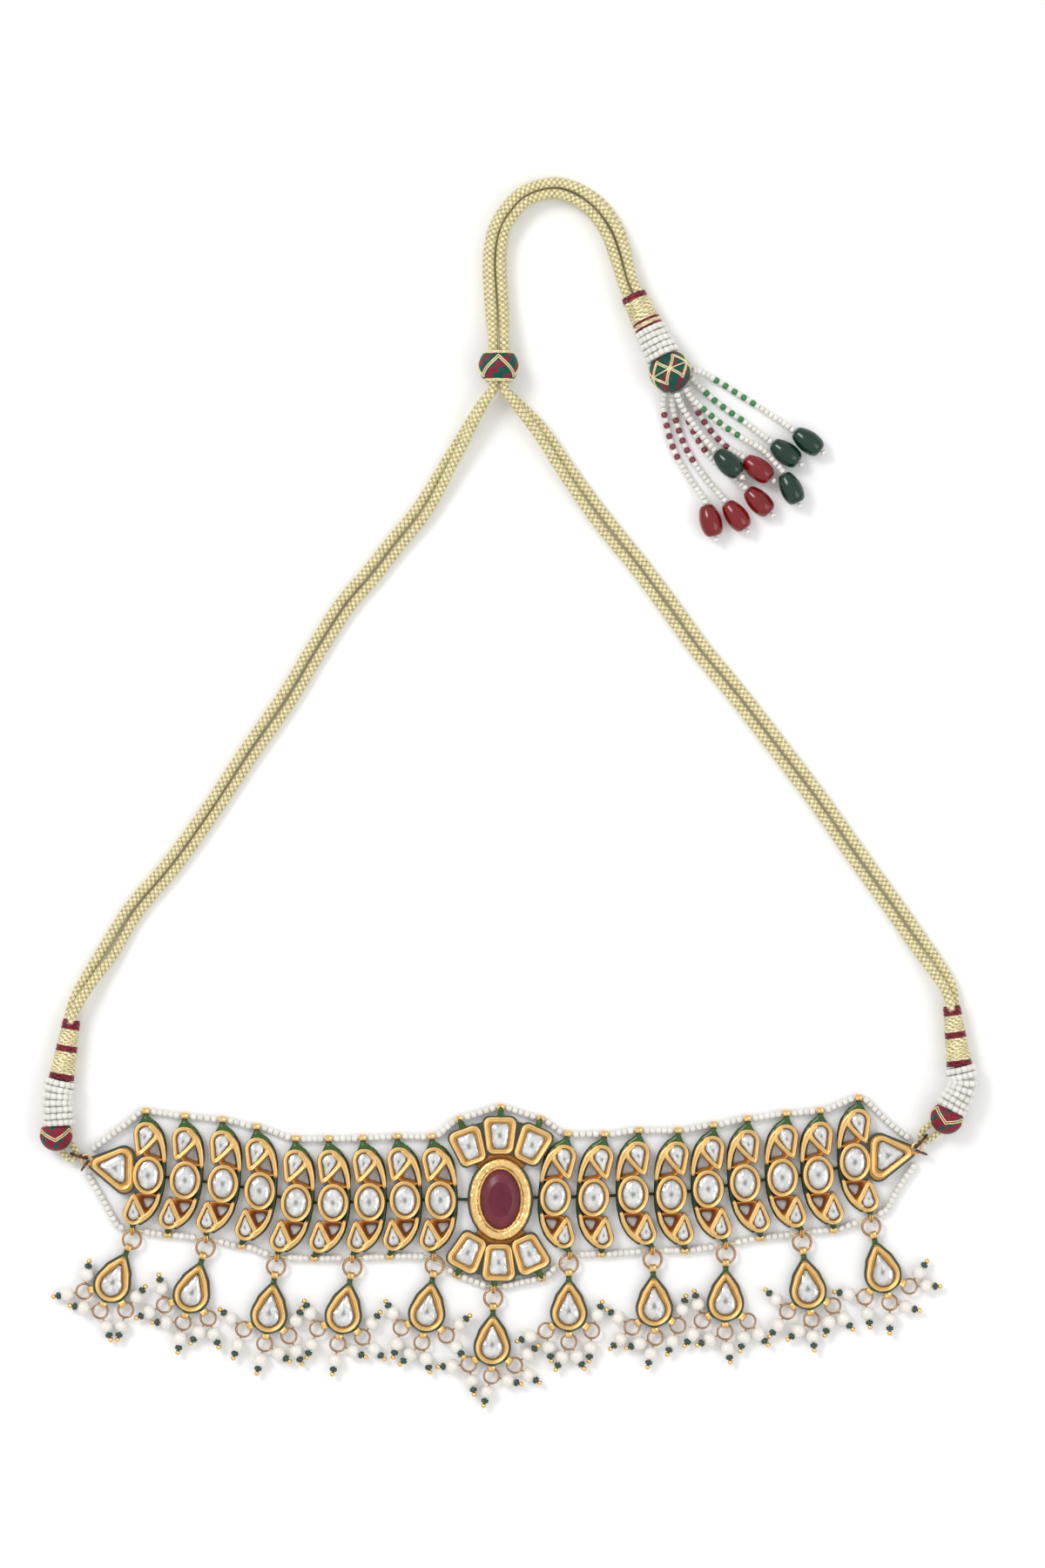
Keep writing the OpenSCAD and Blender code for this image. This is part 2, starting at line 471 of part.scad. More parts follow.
// One link: enamelled plate, gold frames round three stone seats, pierced arms and thread lugs
module link(side, k) {
    row = rows_of(side)[k - 1];
    foot = row[3];
    foot_r = carries_drop(k) ? ring_lug_r : lug_r;
    foot_bore = carries_drop(k) ? ring_lug_bore : lug_bore;
    foot_z = carries_drop(k) ? ring_lug_z : string_z;
    foot_len = carries_drop(k) ? ring_lug_len : lug_len;
    color(gold) difference() {
        place(side, row) difference() {
            union() {
                linear_extrude(plate_h) link_plate(foot);
                linear_extrude(frame_h) link_frame();
                lug(top_lug_x, top_lug_y, string_z, 0, lug_r);
                lug(foot, -foot_lug_y, foot_z, 0, foot_r, foot_len);
                if (k == LINKS) end_triangle();
            }
            translate([0, 0, seat_z]) linear_extrude(frame_h) {
                oval(oval_w - 2 * band, oval_h - 2 * band);
                chain(UPPER_SEAT);
                chain(LOWER_SEAT);
                if (k == LINKS) blob(grown(TRIANGLE_STONE, stone_gap));
            }
            lug(top_lug_x, top_lug_y, string_z, 0, lug_bore, hole_len);
            lug(foot, -foot_lug_y, foot_z, 0, foot_bore, hole_len);
            if (k == LINKS) translate([apex_lug[0], apex_lug[1], -1]) cylinder(h = frame_h + 2, r = apex_bore);
        }
        tie_bore(side, k);
        if (k < LINKS) tie_bore(side, k + 1);
    }
}

module end_triangle() {
    linear_extrude(plate_h) blob(grown(TRIANGLE, rim));
    linear_extrude(frame_h) {
        blob(TRIANGLE);
        blob([[TRIANGLE[1][0], TRIANGLE[1][1], bar_r], [-oval_w / 2, 1.5, bar_r]]);
        blob([[TRIANGLE[2][0], TRIANGLE[2][1], bar_r], [-oval_w / 2, -1.5, bar_r]]);
    }
    translate([apex_lug[0], apex_lug[1], end_z - apex_lug_h / 2]) cylinder(h = apex_lug_h, r = apex_lug_r);
}

// The outline of one petal's frame, seat or plate, grown by a given width
module petal(p, grow) {
    translate([p[0], p[1]]) rotate(p[2]) blob([for (c = PETAL) [c[0], c[1], petal_r + grow]]);
}

function petal_seat(p, grow) = [for (c = PETAL_STONE) let (q = turn(c, p[2]))
    [p[0] + q[0], p[1] + q[1], petal_stone_r + grow]];

module centre_medallion() {
    color(gold) difference() {
        union() {
            linear_extrude(plate_h) {
                oval(ruby_frame_w + 2 * rim, ruby_frame_h + 2 * rim);
                for (p = PETALS) petal(p, rim);
                blob(CENTRE_TOP_FIELD);
                blob(CENTRE_FOOT_FIELD);
                for (p = concat(CENTRE_TOP, CENTRE_FOOT, [CENTRE_RING]))
                    blob([[p[3], p[4], foot_peak_r], [p[0], p[1], lug_neck]]);
            }
            linear_extrude(frame_h) {
                oval(ruby_frame_w, ruby_frame_h);
                for (p = PETALS) petal(p, 0);
            }
            for (p = concat(CENTRE_TOP, CENTRE_FOOT)) lug(p[0], p[1], string_z, p[2], lug_r);
            lug(CENTRE_RING[0], CENTRE_RING[1], ring_lug_z, CENTRE_RING[2], ring_lug_r, ring_lug_len);
        }
        translate([0, 0, seat_z]) linear_extrude(frame_h) {
            oval(ruby_w + 2 * stone_gap, ruby_h + 2 * stone_gap);
            for (p = PETALS) blob(petal_seat(p, stone_gap));
        }
        for (p = concat(CENTRE_TOP, CENTRE_FOOT)) lug(p[0], p[1], string_z, p[2], lug_bore, hole_len);
        lug(CENTRE_RING[0], CENTRE_RING[1], ring_lug_z, CENTRE_RING[2], ring_lug_bore, hole_len);
        for (side = [-1, 1]) tie_bore(side, 1);
    }
}

// One pear drop: plate, frame, seat, bail tube at the top and three lugs below
module drop(i) {
    d = DROPS[i - 1];
    b = bail_at(d);
    color(gold) translate([b[0], b[1], 0]) rotate(d[2]) difference() {
        union() {
            linear_extrude(plate_h) {
                chain(grown(PEAR_FRAME, rim));
                blob([[0, PEAR_FRAME[2][1], foot_peak_r], [0, -bail_neck, lug_neck]]);
            }
            linear_extrude(frame_h) chain(PEAR_FRAME);
            lug(0, 0, ring_z, 0, bail_r);
            for (s = [-1:1]) translate([0, -pear_len, 0]) rotate(s * fan) {
                linear_extrude(plate_h) blob([[0, -pear_r, foot_peak_r], [0, -side_lug_at, lug_neck]]);
                lug(0, -side_lug_at, ring_z, 0, side_lug_r);
            }
        }
        translate([0, 0, seat_z]) linear_extrude(frame_h) chain(grown(PEAR_STONE, stone_gap));
        lug(0, 0, ring_z, 0, bail_bore, hole_len);
        for (s = [-1:1]) translate([0, -pear_len, 0]) rotate(s * fan)
            lug(0, -side_lug_at, ring_z, 0, side_lug_bore, hole_len);
    }
}

// Stones of all the links, one shape at a time
module each_link() {
    for (side = [-1, 1], k = [1:LINKS]) place(side, rows_of(side)[k - 1]) children();
}

module stones_upper() {
    color(crystal) each_link() cut_stone(rounded_outline(grown(UPPER_SEAT, -stone_gap), facets),
        [UPPER_SEAT[0][0] - 0.2, UPPER_SEAT[0][1] - 0.8], frame_h + stone_proud);
}

module stones_oval() {
    color(crystal) each_link() cut_stone(oval_outline(oval_w - 2 * band - 2 * stone_gap,
        oval_h - 2 * band - 2 * stone_gap, facets), [0, 0], frame_h + stone_proud);
}

module stones_lower() {
    color(crystal) each_link() cut_stone(rounded_outline(grown(LOWER_SEAT, -stone_gap), facets),
        [LOWER_SEAT[0][0] - 0.1, LOWER_SEAT[0][1] + 0.7], frame_h + stone_proud);
}

module stones_end() {
    color(crystal) for (side = [-1, 1]) place(side, rows_of(side)[LINKS - 1])
        cut_stone(rounded_outline(TRIANGLE_STONE, facets), [-7.5, 1.3], frame_h + stone_proud);
}

module stones_petal() {
    color(crystal) for (p = PETALS) cut_stone(rounded_outline(petal_seat(p, 0), facets), [p[0], p[1]],
        frame_h + stone_proud);
}

module stones_pear() {
    color(crystal) for (d = DROPS) let (b = bail_at(d)) translate([b[0], b[1], 0]) rotate(d[2])
        cut_stone(rounded_outline(PEAR_STONE, facets), [0, PEAR_STONE[0][1] + 0.8], frame_h + stone_proud);
}

module ruby() {
    outline = oval_outline(ruby_w, ruby_h, ruby_facets);
    levels = [[seat_z + 0.1, 0.85], [ruby_girdle, 1], [ruby_top - 0.5, 0.86], [ruby_top, table_share]];
    color(thread_red) loft([for (v = levels) [for (p = shrunk(outline, [0, 0], v[1])) [p[0], p[1], v[0]]]]);
}

// Rings, pins and pearls
module torus(r, wire) {
    rotate_extrude() translate([r, 0]) circle(wire);
}

module jump_rings() {
    color(ring_gold) for (d = DROPS) let (c = jump_at(d)) translate([c[0], c[1], ring_z]) torus(jump_r, jump_wire);
}

module pearl_rings() {
    color(gold) for (d = DROPS, j = [0:2]) union() {
        c = loop_at(d, j);
        translate([c[0], c[1], ring_z]) torus(loop_r, loop_wire);
        for (m = [0, 1]) {
            foot = pin_foot(d, j, m);
            tip = foot + (pearl_at - loop_r + pearl_r + seed_room + ball_r) * pin_along(d, j, m);
            rod(foot, tip, pin_r, pin_r);
            translate(tip) sphere(ball_r);
        }
    }
}

// Balls turned round Z: one with a hole along Z, and one cut flat at a height above its middle
module bored_ball(r, bore) {
    rotate_extrude() intersection() {
        circle(r);
        translate([bore, -r]) square([r, 2 * r]);
    }
}

module flat_ball(r, flat) {
    rotate_extrude() intersection() {
        circle(r);
        translate([0, -r]) square([r, r + flat]);
    }
}

module pearls() {
    color(pearl_white) for (d = DROPS, j = [0:2], m = [0, 1]) {
        along = pin_along(d, j, m);
        translate(pin_foot(d, j, m) + (pearl_at - loop_r) * along)
            rotate([0, acos(along[2]), atan2(along[1], along[0])]) bored_ball(pearl_r, pin_r + clear);
    }
}

// Threads and strings of the choker
module tie_threads() {
    color(zari) for (side = [-1, 1], k = [1:LINKS]) let (e = tie_ends(side, k, 0))
        rod([e[0][0], e[0][1], tie_z], [e[1][0], e[1][1], tie_z], tie_r, tie_r);
}

// Stations of a border string where it passes a lug: thick, thin, thin, thick. At a lug that
// carries a jump ring the thick parts stay clear of that ring
function station(p, along, s, r) = [p[0] + s * along[0], p[1] + s * along[1], r];
function small_stations(p, along) = [for (s = [[-0.5, bead_r], [-0.15, thread_r], [0.15, thread_r], [0.5, bead_r]])
    station(p, along, s[0] + sign(s[0]) * lug_len / 2, s[1])];
function clear_run(arm, down) = let (c = arm * down, reach = jump_r + jump_wire + bead_r)
    jump_r * c + sqrt(reach * reach - jump_r * jump_r * (1 - c * c));
function ring_stations(p, back, ahead, down) = let (s = clear_run(back, down), t = clear_run(ahead, down))
    [station(p, back, s, bead_r), station(p, back, s - 0.4, thread_r), station(p, back, 0, thread_r),
        station(p, ahead, t - 0.4, thread_r), station(p, ahead, t, bead_r)];
function heading(side, row) = let (a = at(side, row, [1, 0]) - at(side, row, [0, 0])) -side * a;

// Stops of the foot string: place, direction of the lug, and the way its jump ring hangs
function foot_stop(side, k) = let (row = rows_of(side)[k - 1]) [foot_lug(side, k), heading(side, row),
    carries_drop(k) ? at(side, row, [0, 0]) - at(side, row, [0, 1]) : undef];
function centre_stop(p) = [[p[0], p[1]], [cos(p[2]), sin(p[2])], undef];
FOOT_STOPS = concat([for (k = [LINKS:-1:1]) foot_stop(-1, k)],
    [centre_stop(CENTRE_FOOT[0]), [[CENTRE_RING[0], CENTRE_RING[1]], [1, 0], [0, -1]], centre_stop(CENTRE_FOOT[1])],
    [for (k = [1:LINKS]) foot_stop(1, k)]);
function stop_place(i) = i < 0 ? FOOT_START[len(FOOT_START) - 1]
    : i >= len(FOOT_STOPS) ? FOOT_END[0] : FOOT_STOPS[i][0];
function foot_stations(i) = let (stop = FOOT_STOPS[i], p = stop[0])
    is_undef(stop[2]) ? small_stations(p, stop[1])
    : ring_stations(p, unit(stop_place(i - 1) - p), unit(stop_place(i + 1) - p), stop[2]);

module border(stations) {
    color(pearl_white) sweep([for (s = stations) [s[0], s[1], string_z]], [for (s = stations) s[2]], string_sides);
}

module border_top() {
    border(concat([for (p = TOP_START) [p[0], p[1], bead_r]],
        [for (k = [LINKS:-1:1]) each small_stations(top_lug(-1, k), heading(-1, LEFT_LINKS[k - 1]))],
        [for (p = CENTRE_TOP) each small_stations(p, [cos(p[2]), sin(p[2])])],
        [for (k = [1:LINKS]) each small_stations(top_lug(1, k), heading(1, RIGHT_LINKS[k - 1]))],
        [for (p = TOP_END) [p[0], p[1], bead_r]]));
}

module border_foot() {
    border(concat([for (p = FOOT_START) [p[0], p[1], bead_r]],
        [for (i = [0:len(FOOT_STOPS) - 1]) each foot_stations(i)],
        [for (p = FOOT_END) [p[0], p[1], bead_r]]));
}

// Ends of the choker
function eye_of(e) = at(e[0], rows_of(e[0])[LINKS - 1], apex_lug);
function end_aim(e) = [cos(e[1]), sin(e[1])];
function end_left(e) = [-sin(e[1]), cos(e[1])];
function bend_of(e) = eye_of(e) + 2 * end_ring_r * end_aim(e) + e[0] * end_shift * end_left(e);
function wrap_foot_of(e) = e[5] + clear * [cos(e[6]), sin(e[6])];
function wrap_top_of(e) = wrap_foot_of(e) + wrap_len * [cos(e[6]), sin(e[6])];

module end_rings() {
    color(bronze) for (e = ENDS) {
        for (ring = [[end_ring_r, end_ring_wire, end_shift, 0], [end_link_r, end_link_wire, -end_shift, end_fork]]) {
            aim = e[1] - e[0] * ring[3];
            c = eye_of(e) + ring[0] * [cos(aim), sin(aim)] + e[0] * ring[2] * [-sin(aim), cos(aim)];
            translate([c[0], c[1], end_z]) rotate([0, 0, aim]) rotate([90, 0, 0]) torus(ring[0], ring[1]);
        }
    }
}

module braid_loops() {
    color(zari) for (e = ENDS) {
        bend = bend_of(e);
        run = e[2] - bend;
        leg = norm(run) - end_ball_r;
        translate([bend[0], bend[1], end_z]) rotate([0, 0, atan2(run[1], run[0])]) {
            rotate([0, 0, 90]) rotate_extrude(angle = 180) translate([braid_bend_r, 0]) circle(braid_r);
            for (s = [-1, 1]) rod([0, s * braid_bend_r, 0], [leg, s * braid_bend_r, 0], braid_r, braid_r);
        }
    }
}

// A thread ball at each end, cut flat where the bead sleeve meets it
module end_balls() {
    color(thread_red) for (e = ENDS) {
        aim = unit(e[4] - e[3]);
        translate([e[2][0], e[2][1], sleeve_z]) rotate([0, 90, atan2(aim[1], aim[0])])
            flat_ball(end_ball_r, (e[3] - e[2]) * aim - clear);
    }
}

module end_sleeves() {
    color(pearl_white) for (e = ENDS)
        sweep([for (p = [e[3], e[4], e[5]]) [p[0], p[1], sleeve_z]], [sleeve_r, sleeve_r, sleeve_r], sleeve_sides);
}

module end_wraps() {
    color(thread_red) for (e = ENDS) {
        a = wrap_foot_of(e);
        b = wrap_top_of(e);
        rod([a[0], a[1], wrap_z], [b[0], b[1], wrap_z], wrap_foot_r, wrap_top_r);
    }
}

// Draw cord, slider and tassel
module strand(route) {
    color(zari) sweep(route, [for (p = route) strand_d / 2], cord_sides);
}

module slider() {
    color(thread_red) translate(slider_at) rotate([90, 0, 0]) bored_ball(slider_r, slider_bore);
}

function along_tassel(s) = tassel_top + s * tassel_dir;

module tassel_wrap() {
    color(thread_red) rod(along_tassel(0), along_tassel(tassel_wrap_len), TASSEL_RADII[0], TASSEL_RADII[1]);
}

module tassel_sleeve() {
    start = tassel_wrap_len + clear;
    color(pearl_white) rod(along_tassel(start), along_tassel(start + tassel_sleeve_len),
        TASSEL_RADII[2], TASSEL_RADII[3]);
}

module tassel_ball() {
    flat_at = tassel_wrap_len + tassel_sleeve_len + 2 * clear;
    color(thread_red) translate(along_tassel(tassel_ball_at))
        rotate([0, acos(-tassel_dir[2]), atan2(-tassel_dir[1], -tassel_dir[0])])
        flat_ball(tassel_ball_r, tassel_ball_at - flat_at);
}

// A string ends in a thread through its drop and a small bead below the drop
function string_aim(route) = unit(route[len(route) - 1] - route[len(route) - 2]);

module tassel_strings() {
    color(pearl_white) for (route = TASSEL_STRINGS) {
        foot = route[len(route) - 1];
        steps = [[clear, thread_r], [glass_len + 2 * clear, thread_r], [glass_len + 0.5, 0.7 * tassel_bead_r],
            [glass_len + 1.3, tassel_bead_r], [glass_len + 1.8, thread_r]];
        sweep(concat(route, [for (s = steps) foot + s[0] * string_aim(route)]),
            concat([for (p = route) tassel_bead_r], [for (s = steps) s[1]]), string_sides);
    }
}

module glass_drops() {
    for (i = [0:len(TASSEL_STRINGS) - 1]) {
        route = TASSEL_STRINGS[i];
        aim = string_aim(route);
        profile = concat([[thread_r + clear, 0]], [for (g = GLASS) [g[1] * glass_r, g[0] * glass_len]],
            [[thread_r + clear, glass_len]]);
        color(len(search(i, RED_GLASS)) > 0 ? thread_red : glass_green)
            translate(route[len(route) - 1] + clear * aim)
            rotate([0, acos(aim[2]), atan2(aim[1], aim[0])]) rotate_extrude() polygon(profile);
    }
}

for (k = [1:LINKS]) {
    link(-1, k);
    link(1, k);
}
for (i = [1:len(DROPS)]) drop(i);
centre_medallion();
stones_upper();
stones_oval();
stones_lower();
stones_end();
stones_petal();
stones_pear();
ruby();
jump_rings();
pearl_rings();
pearls();
tie_threads();
border_top();
border_foot();
end_rings();
braid_loops();
end_balls();
end_sleeves();
end_wraps();
strand(LEFT_A);  // strand_left_a
strand(LEFT_B);  // strand_left_b
strand(RIGHT_A);  // strand_right_a
strand(RIGHT_B);  // strand_right_b
slider();
tassel_wrap();
tassel_sleeve();
tassel_ball();
tassel_strings();
glass_drops();
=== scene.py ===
"""Kundan choker necklace with a looped draw cord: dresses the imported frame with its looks.

The frame gives the plates, rings and pins. The operators below add rolled gold bands, enamel,
foiled stones, pearls, seed beads, braided cord and wound thread. Sizes are millimetres until a
mesh is written, and metres after that.
"""
import math

import bmesh
import bpy
import numpy as np
from bpy.props import FloatProperty, FloatVectorProperty, IntProperty, PointerProperty
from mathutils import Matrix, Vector


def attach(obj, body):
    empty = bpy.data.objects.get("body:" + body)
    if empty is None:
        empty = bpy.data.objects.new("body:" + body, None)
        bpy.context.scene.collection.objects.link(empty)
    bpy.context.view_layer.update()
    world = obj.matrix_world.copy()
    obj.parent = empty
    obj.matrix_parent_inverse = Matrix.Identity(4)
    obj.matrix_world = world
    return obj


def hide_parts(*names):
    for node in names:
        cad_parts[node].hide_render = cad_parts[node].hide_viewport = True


bl_info = {
    "name": "Kundan Necklace",
    "version": (1, 0, 0),
    "blender": (4, 5, 0),
    "location": "3D Viewport > Sidebar > Necklace",
    "description": "Builds a kundan choker with pear drops, pearls, a draw cord and a tassel",
    "category": "Object",
}

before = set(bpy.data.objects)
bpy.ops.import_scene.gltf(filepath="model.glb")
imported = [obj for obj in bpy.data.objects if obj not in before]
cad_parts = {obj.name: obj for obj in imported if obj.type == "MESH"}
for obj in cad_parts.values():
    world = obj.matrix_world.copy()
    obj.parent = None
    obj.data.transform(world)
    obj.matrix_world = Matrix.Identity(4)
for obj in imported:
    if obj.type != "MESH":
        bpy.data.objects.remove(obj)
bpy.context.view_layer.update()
MM = 0.001

# ---- Sizes, as in the part's source ----
TOP_LUG, EYE, FOOT_UP = [-1.1, 14.3, 0], [-14.0, 2.9, 0], -12.6
JUMP_REACH, HEAD_DOWN, HEAD_TURN = 2.03, 9.0, 52
LOOP_REACH, LOOP_R, LOOP_WIRE, RING_Z = 6.55, 1.7, 0.25, 1.6
PEARL_OUT, PEARL_R, SEED_ROOM, BALL_R, PIN_R = 2.05, 1.65, 0.9, 0.6, 0.2
ROOM = 0.12
# Collars of a plain lug and of one with a jump ring: height, inner and outer radius, length
PLAIN_LUG, RING_LUG = (0.95, 0.5, 0.89, 1.44), (1.3, 0.8, 1.12, 0.84)
# Enamel of the hoods, linear: link peaks, medallion, drop heads and drop lugs
PEAK_GREEN, CENTRE_GREEN = np.array([0.035, 0.095, 0.014]), np.array([0.030, 0.085, 0.013])
HEAD_GREEN, LUG_GREEN = np.array([0.022, 0.075, 0.012]), np.array([0.020, 0.065, 0.011])
UP = np.array([0.0, 0.0, 1.0])

# ---- Layout, as in the part's source ----
LEFT_LINKS = np.array([
    [13.5, -0.2, 3.6, -2.2], [21.5, -0.2, 2.7, -4.0], [29.5, -0.6, 1.5, -4.2],
    [37.7, -0.8, -0.4, -4.2], [46.0, -0.8, -4.0, -3.5], [54.2, 1.9, -1.5, -3.8],
    [62.5, 3.5, -4.0, -2.9], [71.0, 4.3, -4.0, -3.1], [79.3, 5.4, -2.2, -3.1]])
RIGHT_LINKS = np.array([
    [12.4, 0.5, 6.5, -4.7], [21.0, 0.4, 5.5, -2.9], [29.9, 1.1, 0.8, -4.6],
    [38.5, 1.1, 2.0, -3.5], [46.8, 2.3, 0.4, -4.1], [55.1, 3.7, -2.0, -3.0],
    [63.5, 4.9, -0.5, -4.3], [71.6, 5.5, -2.4, -2.9], [79.8, 8.4, -0.5, -3.6]])
LINKS = len(LEFT_LINKS)
EACH_LINK = [(side, k) for side in (-1, 1) for k in range(1, LINKS + 1)]
# One row per drop: side, link, swing, two pin directions for each of its three rings
DROPS = np.array([
    [-1, 9, -24.0, 80, 190, 170, 290, 255, 50], [-1, 7, -16.6, 100, 205, 180, 260, 235, 290],
    [-1, 5, -8.4, 140, 250, 255, 325, 65, 295], [-1, 3, -10.8, 115, 250, 260, 335, 315, 55],
    [-1, 1, -9.5, 120, 255, 225, 285, 310, 40], [0, 0, -1.3, 185, 280, 255, 345, 325, 40],
    [1, 1, 0.0, 200, 280, 245, 300, 265, 70], [1, 3, 2.0, 145, 225, 200, 255, 250, 75],
    [1, 5, -0.7, 105, 235, 205, 280, 255, 310], [1, 7, 7.0, 135, 235, 220, 275, 255, 310],
    [1, 9, 13.7, 170, 280, 270, 345, 0, 55]])
# The one pearl that is lifted over its neighbour: drop, pin and height
LIFTED_PEARL = (4, 4, 1.2)
PETALS = [[-0.1, 14.35, 0], [-7.1, 11.9, 20], [7.1, 12.2, -25],
          [-0.4, -14.2, 180], [-7.3, -11.9, 152], [6.5, -12.3, 204]]
CENTRE_TOP = [[-9.2, 17.9, 18, -8.2, 15.4], [0.1, 20.6, 0, 0, 17.6], [9.1, 18.0, -18, 8.2, 15.4]]
CENTRE_FOOT = [[-9.8, -17.1, -20, -8.4, -14.6], [9.3, -17.8, 15, 7.8, -15.0]]
CENTRE_RING = [-1.6, -20.2, 0, -1.0, -17.2]
# Rows of circles, across, up and radius, that bound the parts of one link
UPPER_SEAT = [[-0.85, 9.4, 1.75], [-1.7, 6.0, 0.35]]
LOWER_SEAT = [[-2.95, -8.95, 1.45], [-3.1, -6.0, 0.35]]
UPPER_BAND = [[-0.88, 9.3, 2.22], [-2.1, 5.4, 0.45]]
LOWER_BAND = [[-2.95, -8.9, 1.92], [-3.1, -5.3, 0.42]]
TOP_PEAK = [[-2.4, 10.5, 0.6], [-1.1, 13.3, 0.5], [1.2, 11.0, 0.9]]
UPPER_ARM = [[0.3, 11.1, 0.7], [2.1, 9.1, 0.75], [3.0, 6.8, 0.6], [3.4, 4.8, 0.5], [3.5, 3.4, 0.42]]
UPPER_BAR = [[1.9, 9.0, 0.55], [-0.4, 6.4, 0.5], [-2.5, 4.6, 0.42]]
LOWER_ARM = [[2.6, -4.3, 0.42], [2.0, -6.4, 0.5], [0.6, -8.6, 0.6], [-1.4, -10.2, 0.7]]
LOWER_BAR = [[-3.1, -4.5, 0.42], [-2.2, -6.4, 0.5], [-0.9, -8.7, 0.6]]
BACK_RIDGE = [[0.6, 11.3, 1.05], [2.2, 9.2, 1.0], [2.95, 6.8, 0.9], [3.25, 4.8, 0.75], [3.3, 3.2, 0.65],
              [3.35, 0.2, 0.6], [3.1, -2.8, 0.6], [2.6, -4.5, 0.75], [1.9, -6.6, 0.8], [0.5, -8.9, 0.8],
              [-1.5, -10.5, 0.8]]
TRIANGLE_BAND = [[-11.3, 2.0, 0.9], [-5.95, 3.7, 1.6], [-5.7, -1.55, 1.5]]
TRIANGLE_STONE = [[-10.7, 1.8, 0.5], [-6.3, 3.5, 1.1], [-6.05, -1.0, 1.0]]
UPPER_GAP = [[1.75, 7.75, 0.5], [2.55, 4.3, 0.5], [-0.35, 5.15, 0.5]]
UPPER_HOLE = [[1.8, 7.4, 0.36], [2.45, 4.7, 0.36], [0.3, 5.3, 0.36]]
LOWER_GAP = [[-1.85, -5.1, 0.5], [1.55, -5.2, 0.5], [-0.5, -7.9, 0.45]]
LOWER_HOLE = [[-0.5, -5.7, 0.4], [1.0, -5.7, 0.4], [-0.1, -7.0, 0.35]]
# Border strings beyond the outermost lugs
TOP_START = [[-92.2, 11.0], [-90.2, 12.4], [-87.8, 14.2], [-85.3, 16.1], [-82.9, 17.9]]
TOP_END = [[83.3, 21.3], [85.4, 19.1], [87.7, 17.0], [90.0, 15.1], [92.1, 13.6]]
FOOT_START = [[-93.0, 5.5], [-91.6, 3.3], [-90.0, 0.7], [-88.2, -2.6], [-86.2, -6.0]]
FOOT_END = [[87.0, -2.4], [88.9, 1.2], [91.0, 4.4], [92.5, 6.4], [93.4, 7.9]]
# Ends of the choker: side, direction of the braid loop, ball, sleeve foot, bend and top, wrap direction
ENDS = [(-1, 164.0, (-99.9, 14.6), (-99.3, 16.6), (-99.6, 22.6), (-98.8, 27.0), 80.0),
        (1, 48.0, (100.4, 18.4), (101.2, 20.2), (103.9, 25.6), (103.3, 30.0), 97.5)]
TASSEL_TOP = np.array([29.9, 203.4, 3.1])
TASSEL_AIM = np.array([0.4305, -0.9026, 0.0885]) / np.linalg.norm([0.4305, -0.9026, 0.0885])
SLIDER_AT = np.array([-0.4, 187.3, 4.55])
# Where the strands come together inside each end wrap
WRAP_MOUTH = {"left": (-96.78, 38.44), "right": (101.78, 41.52)}

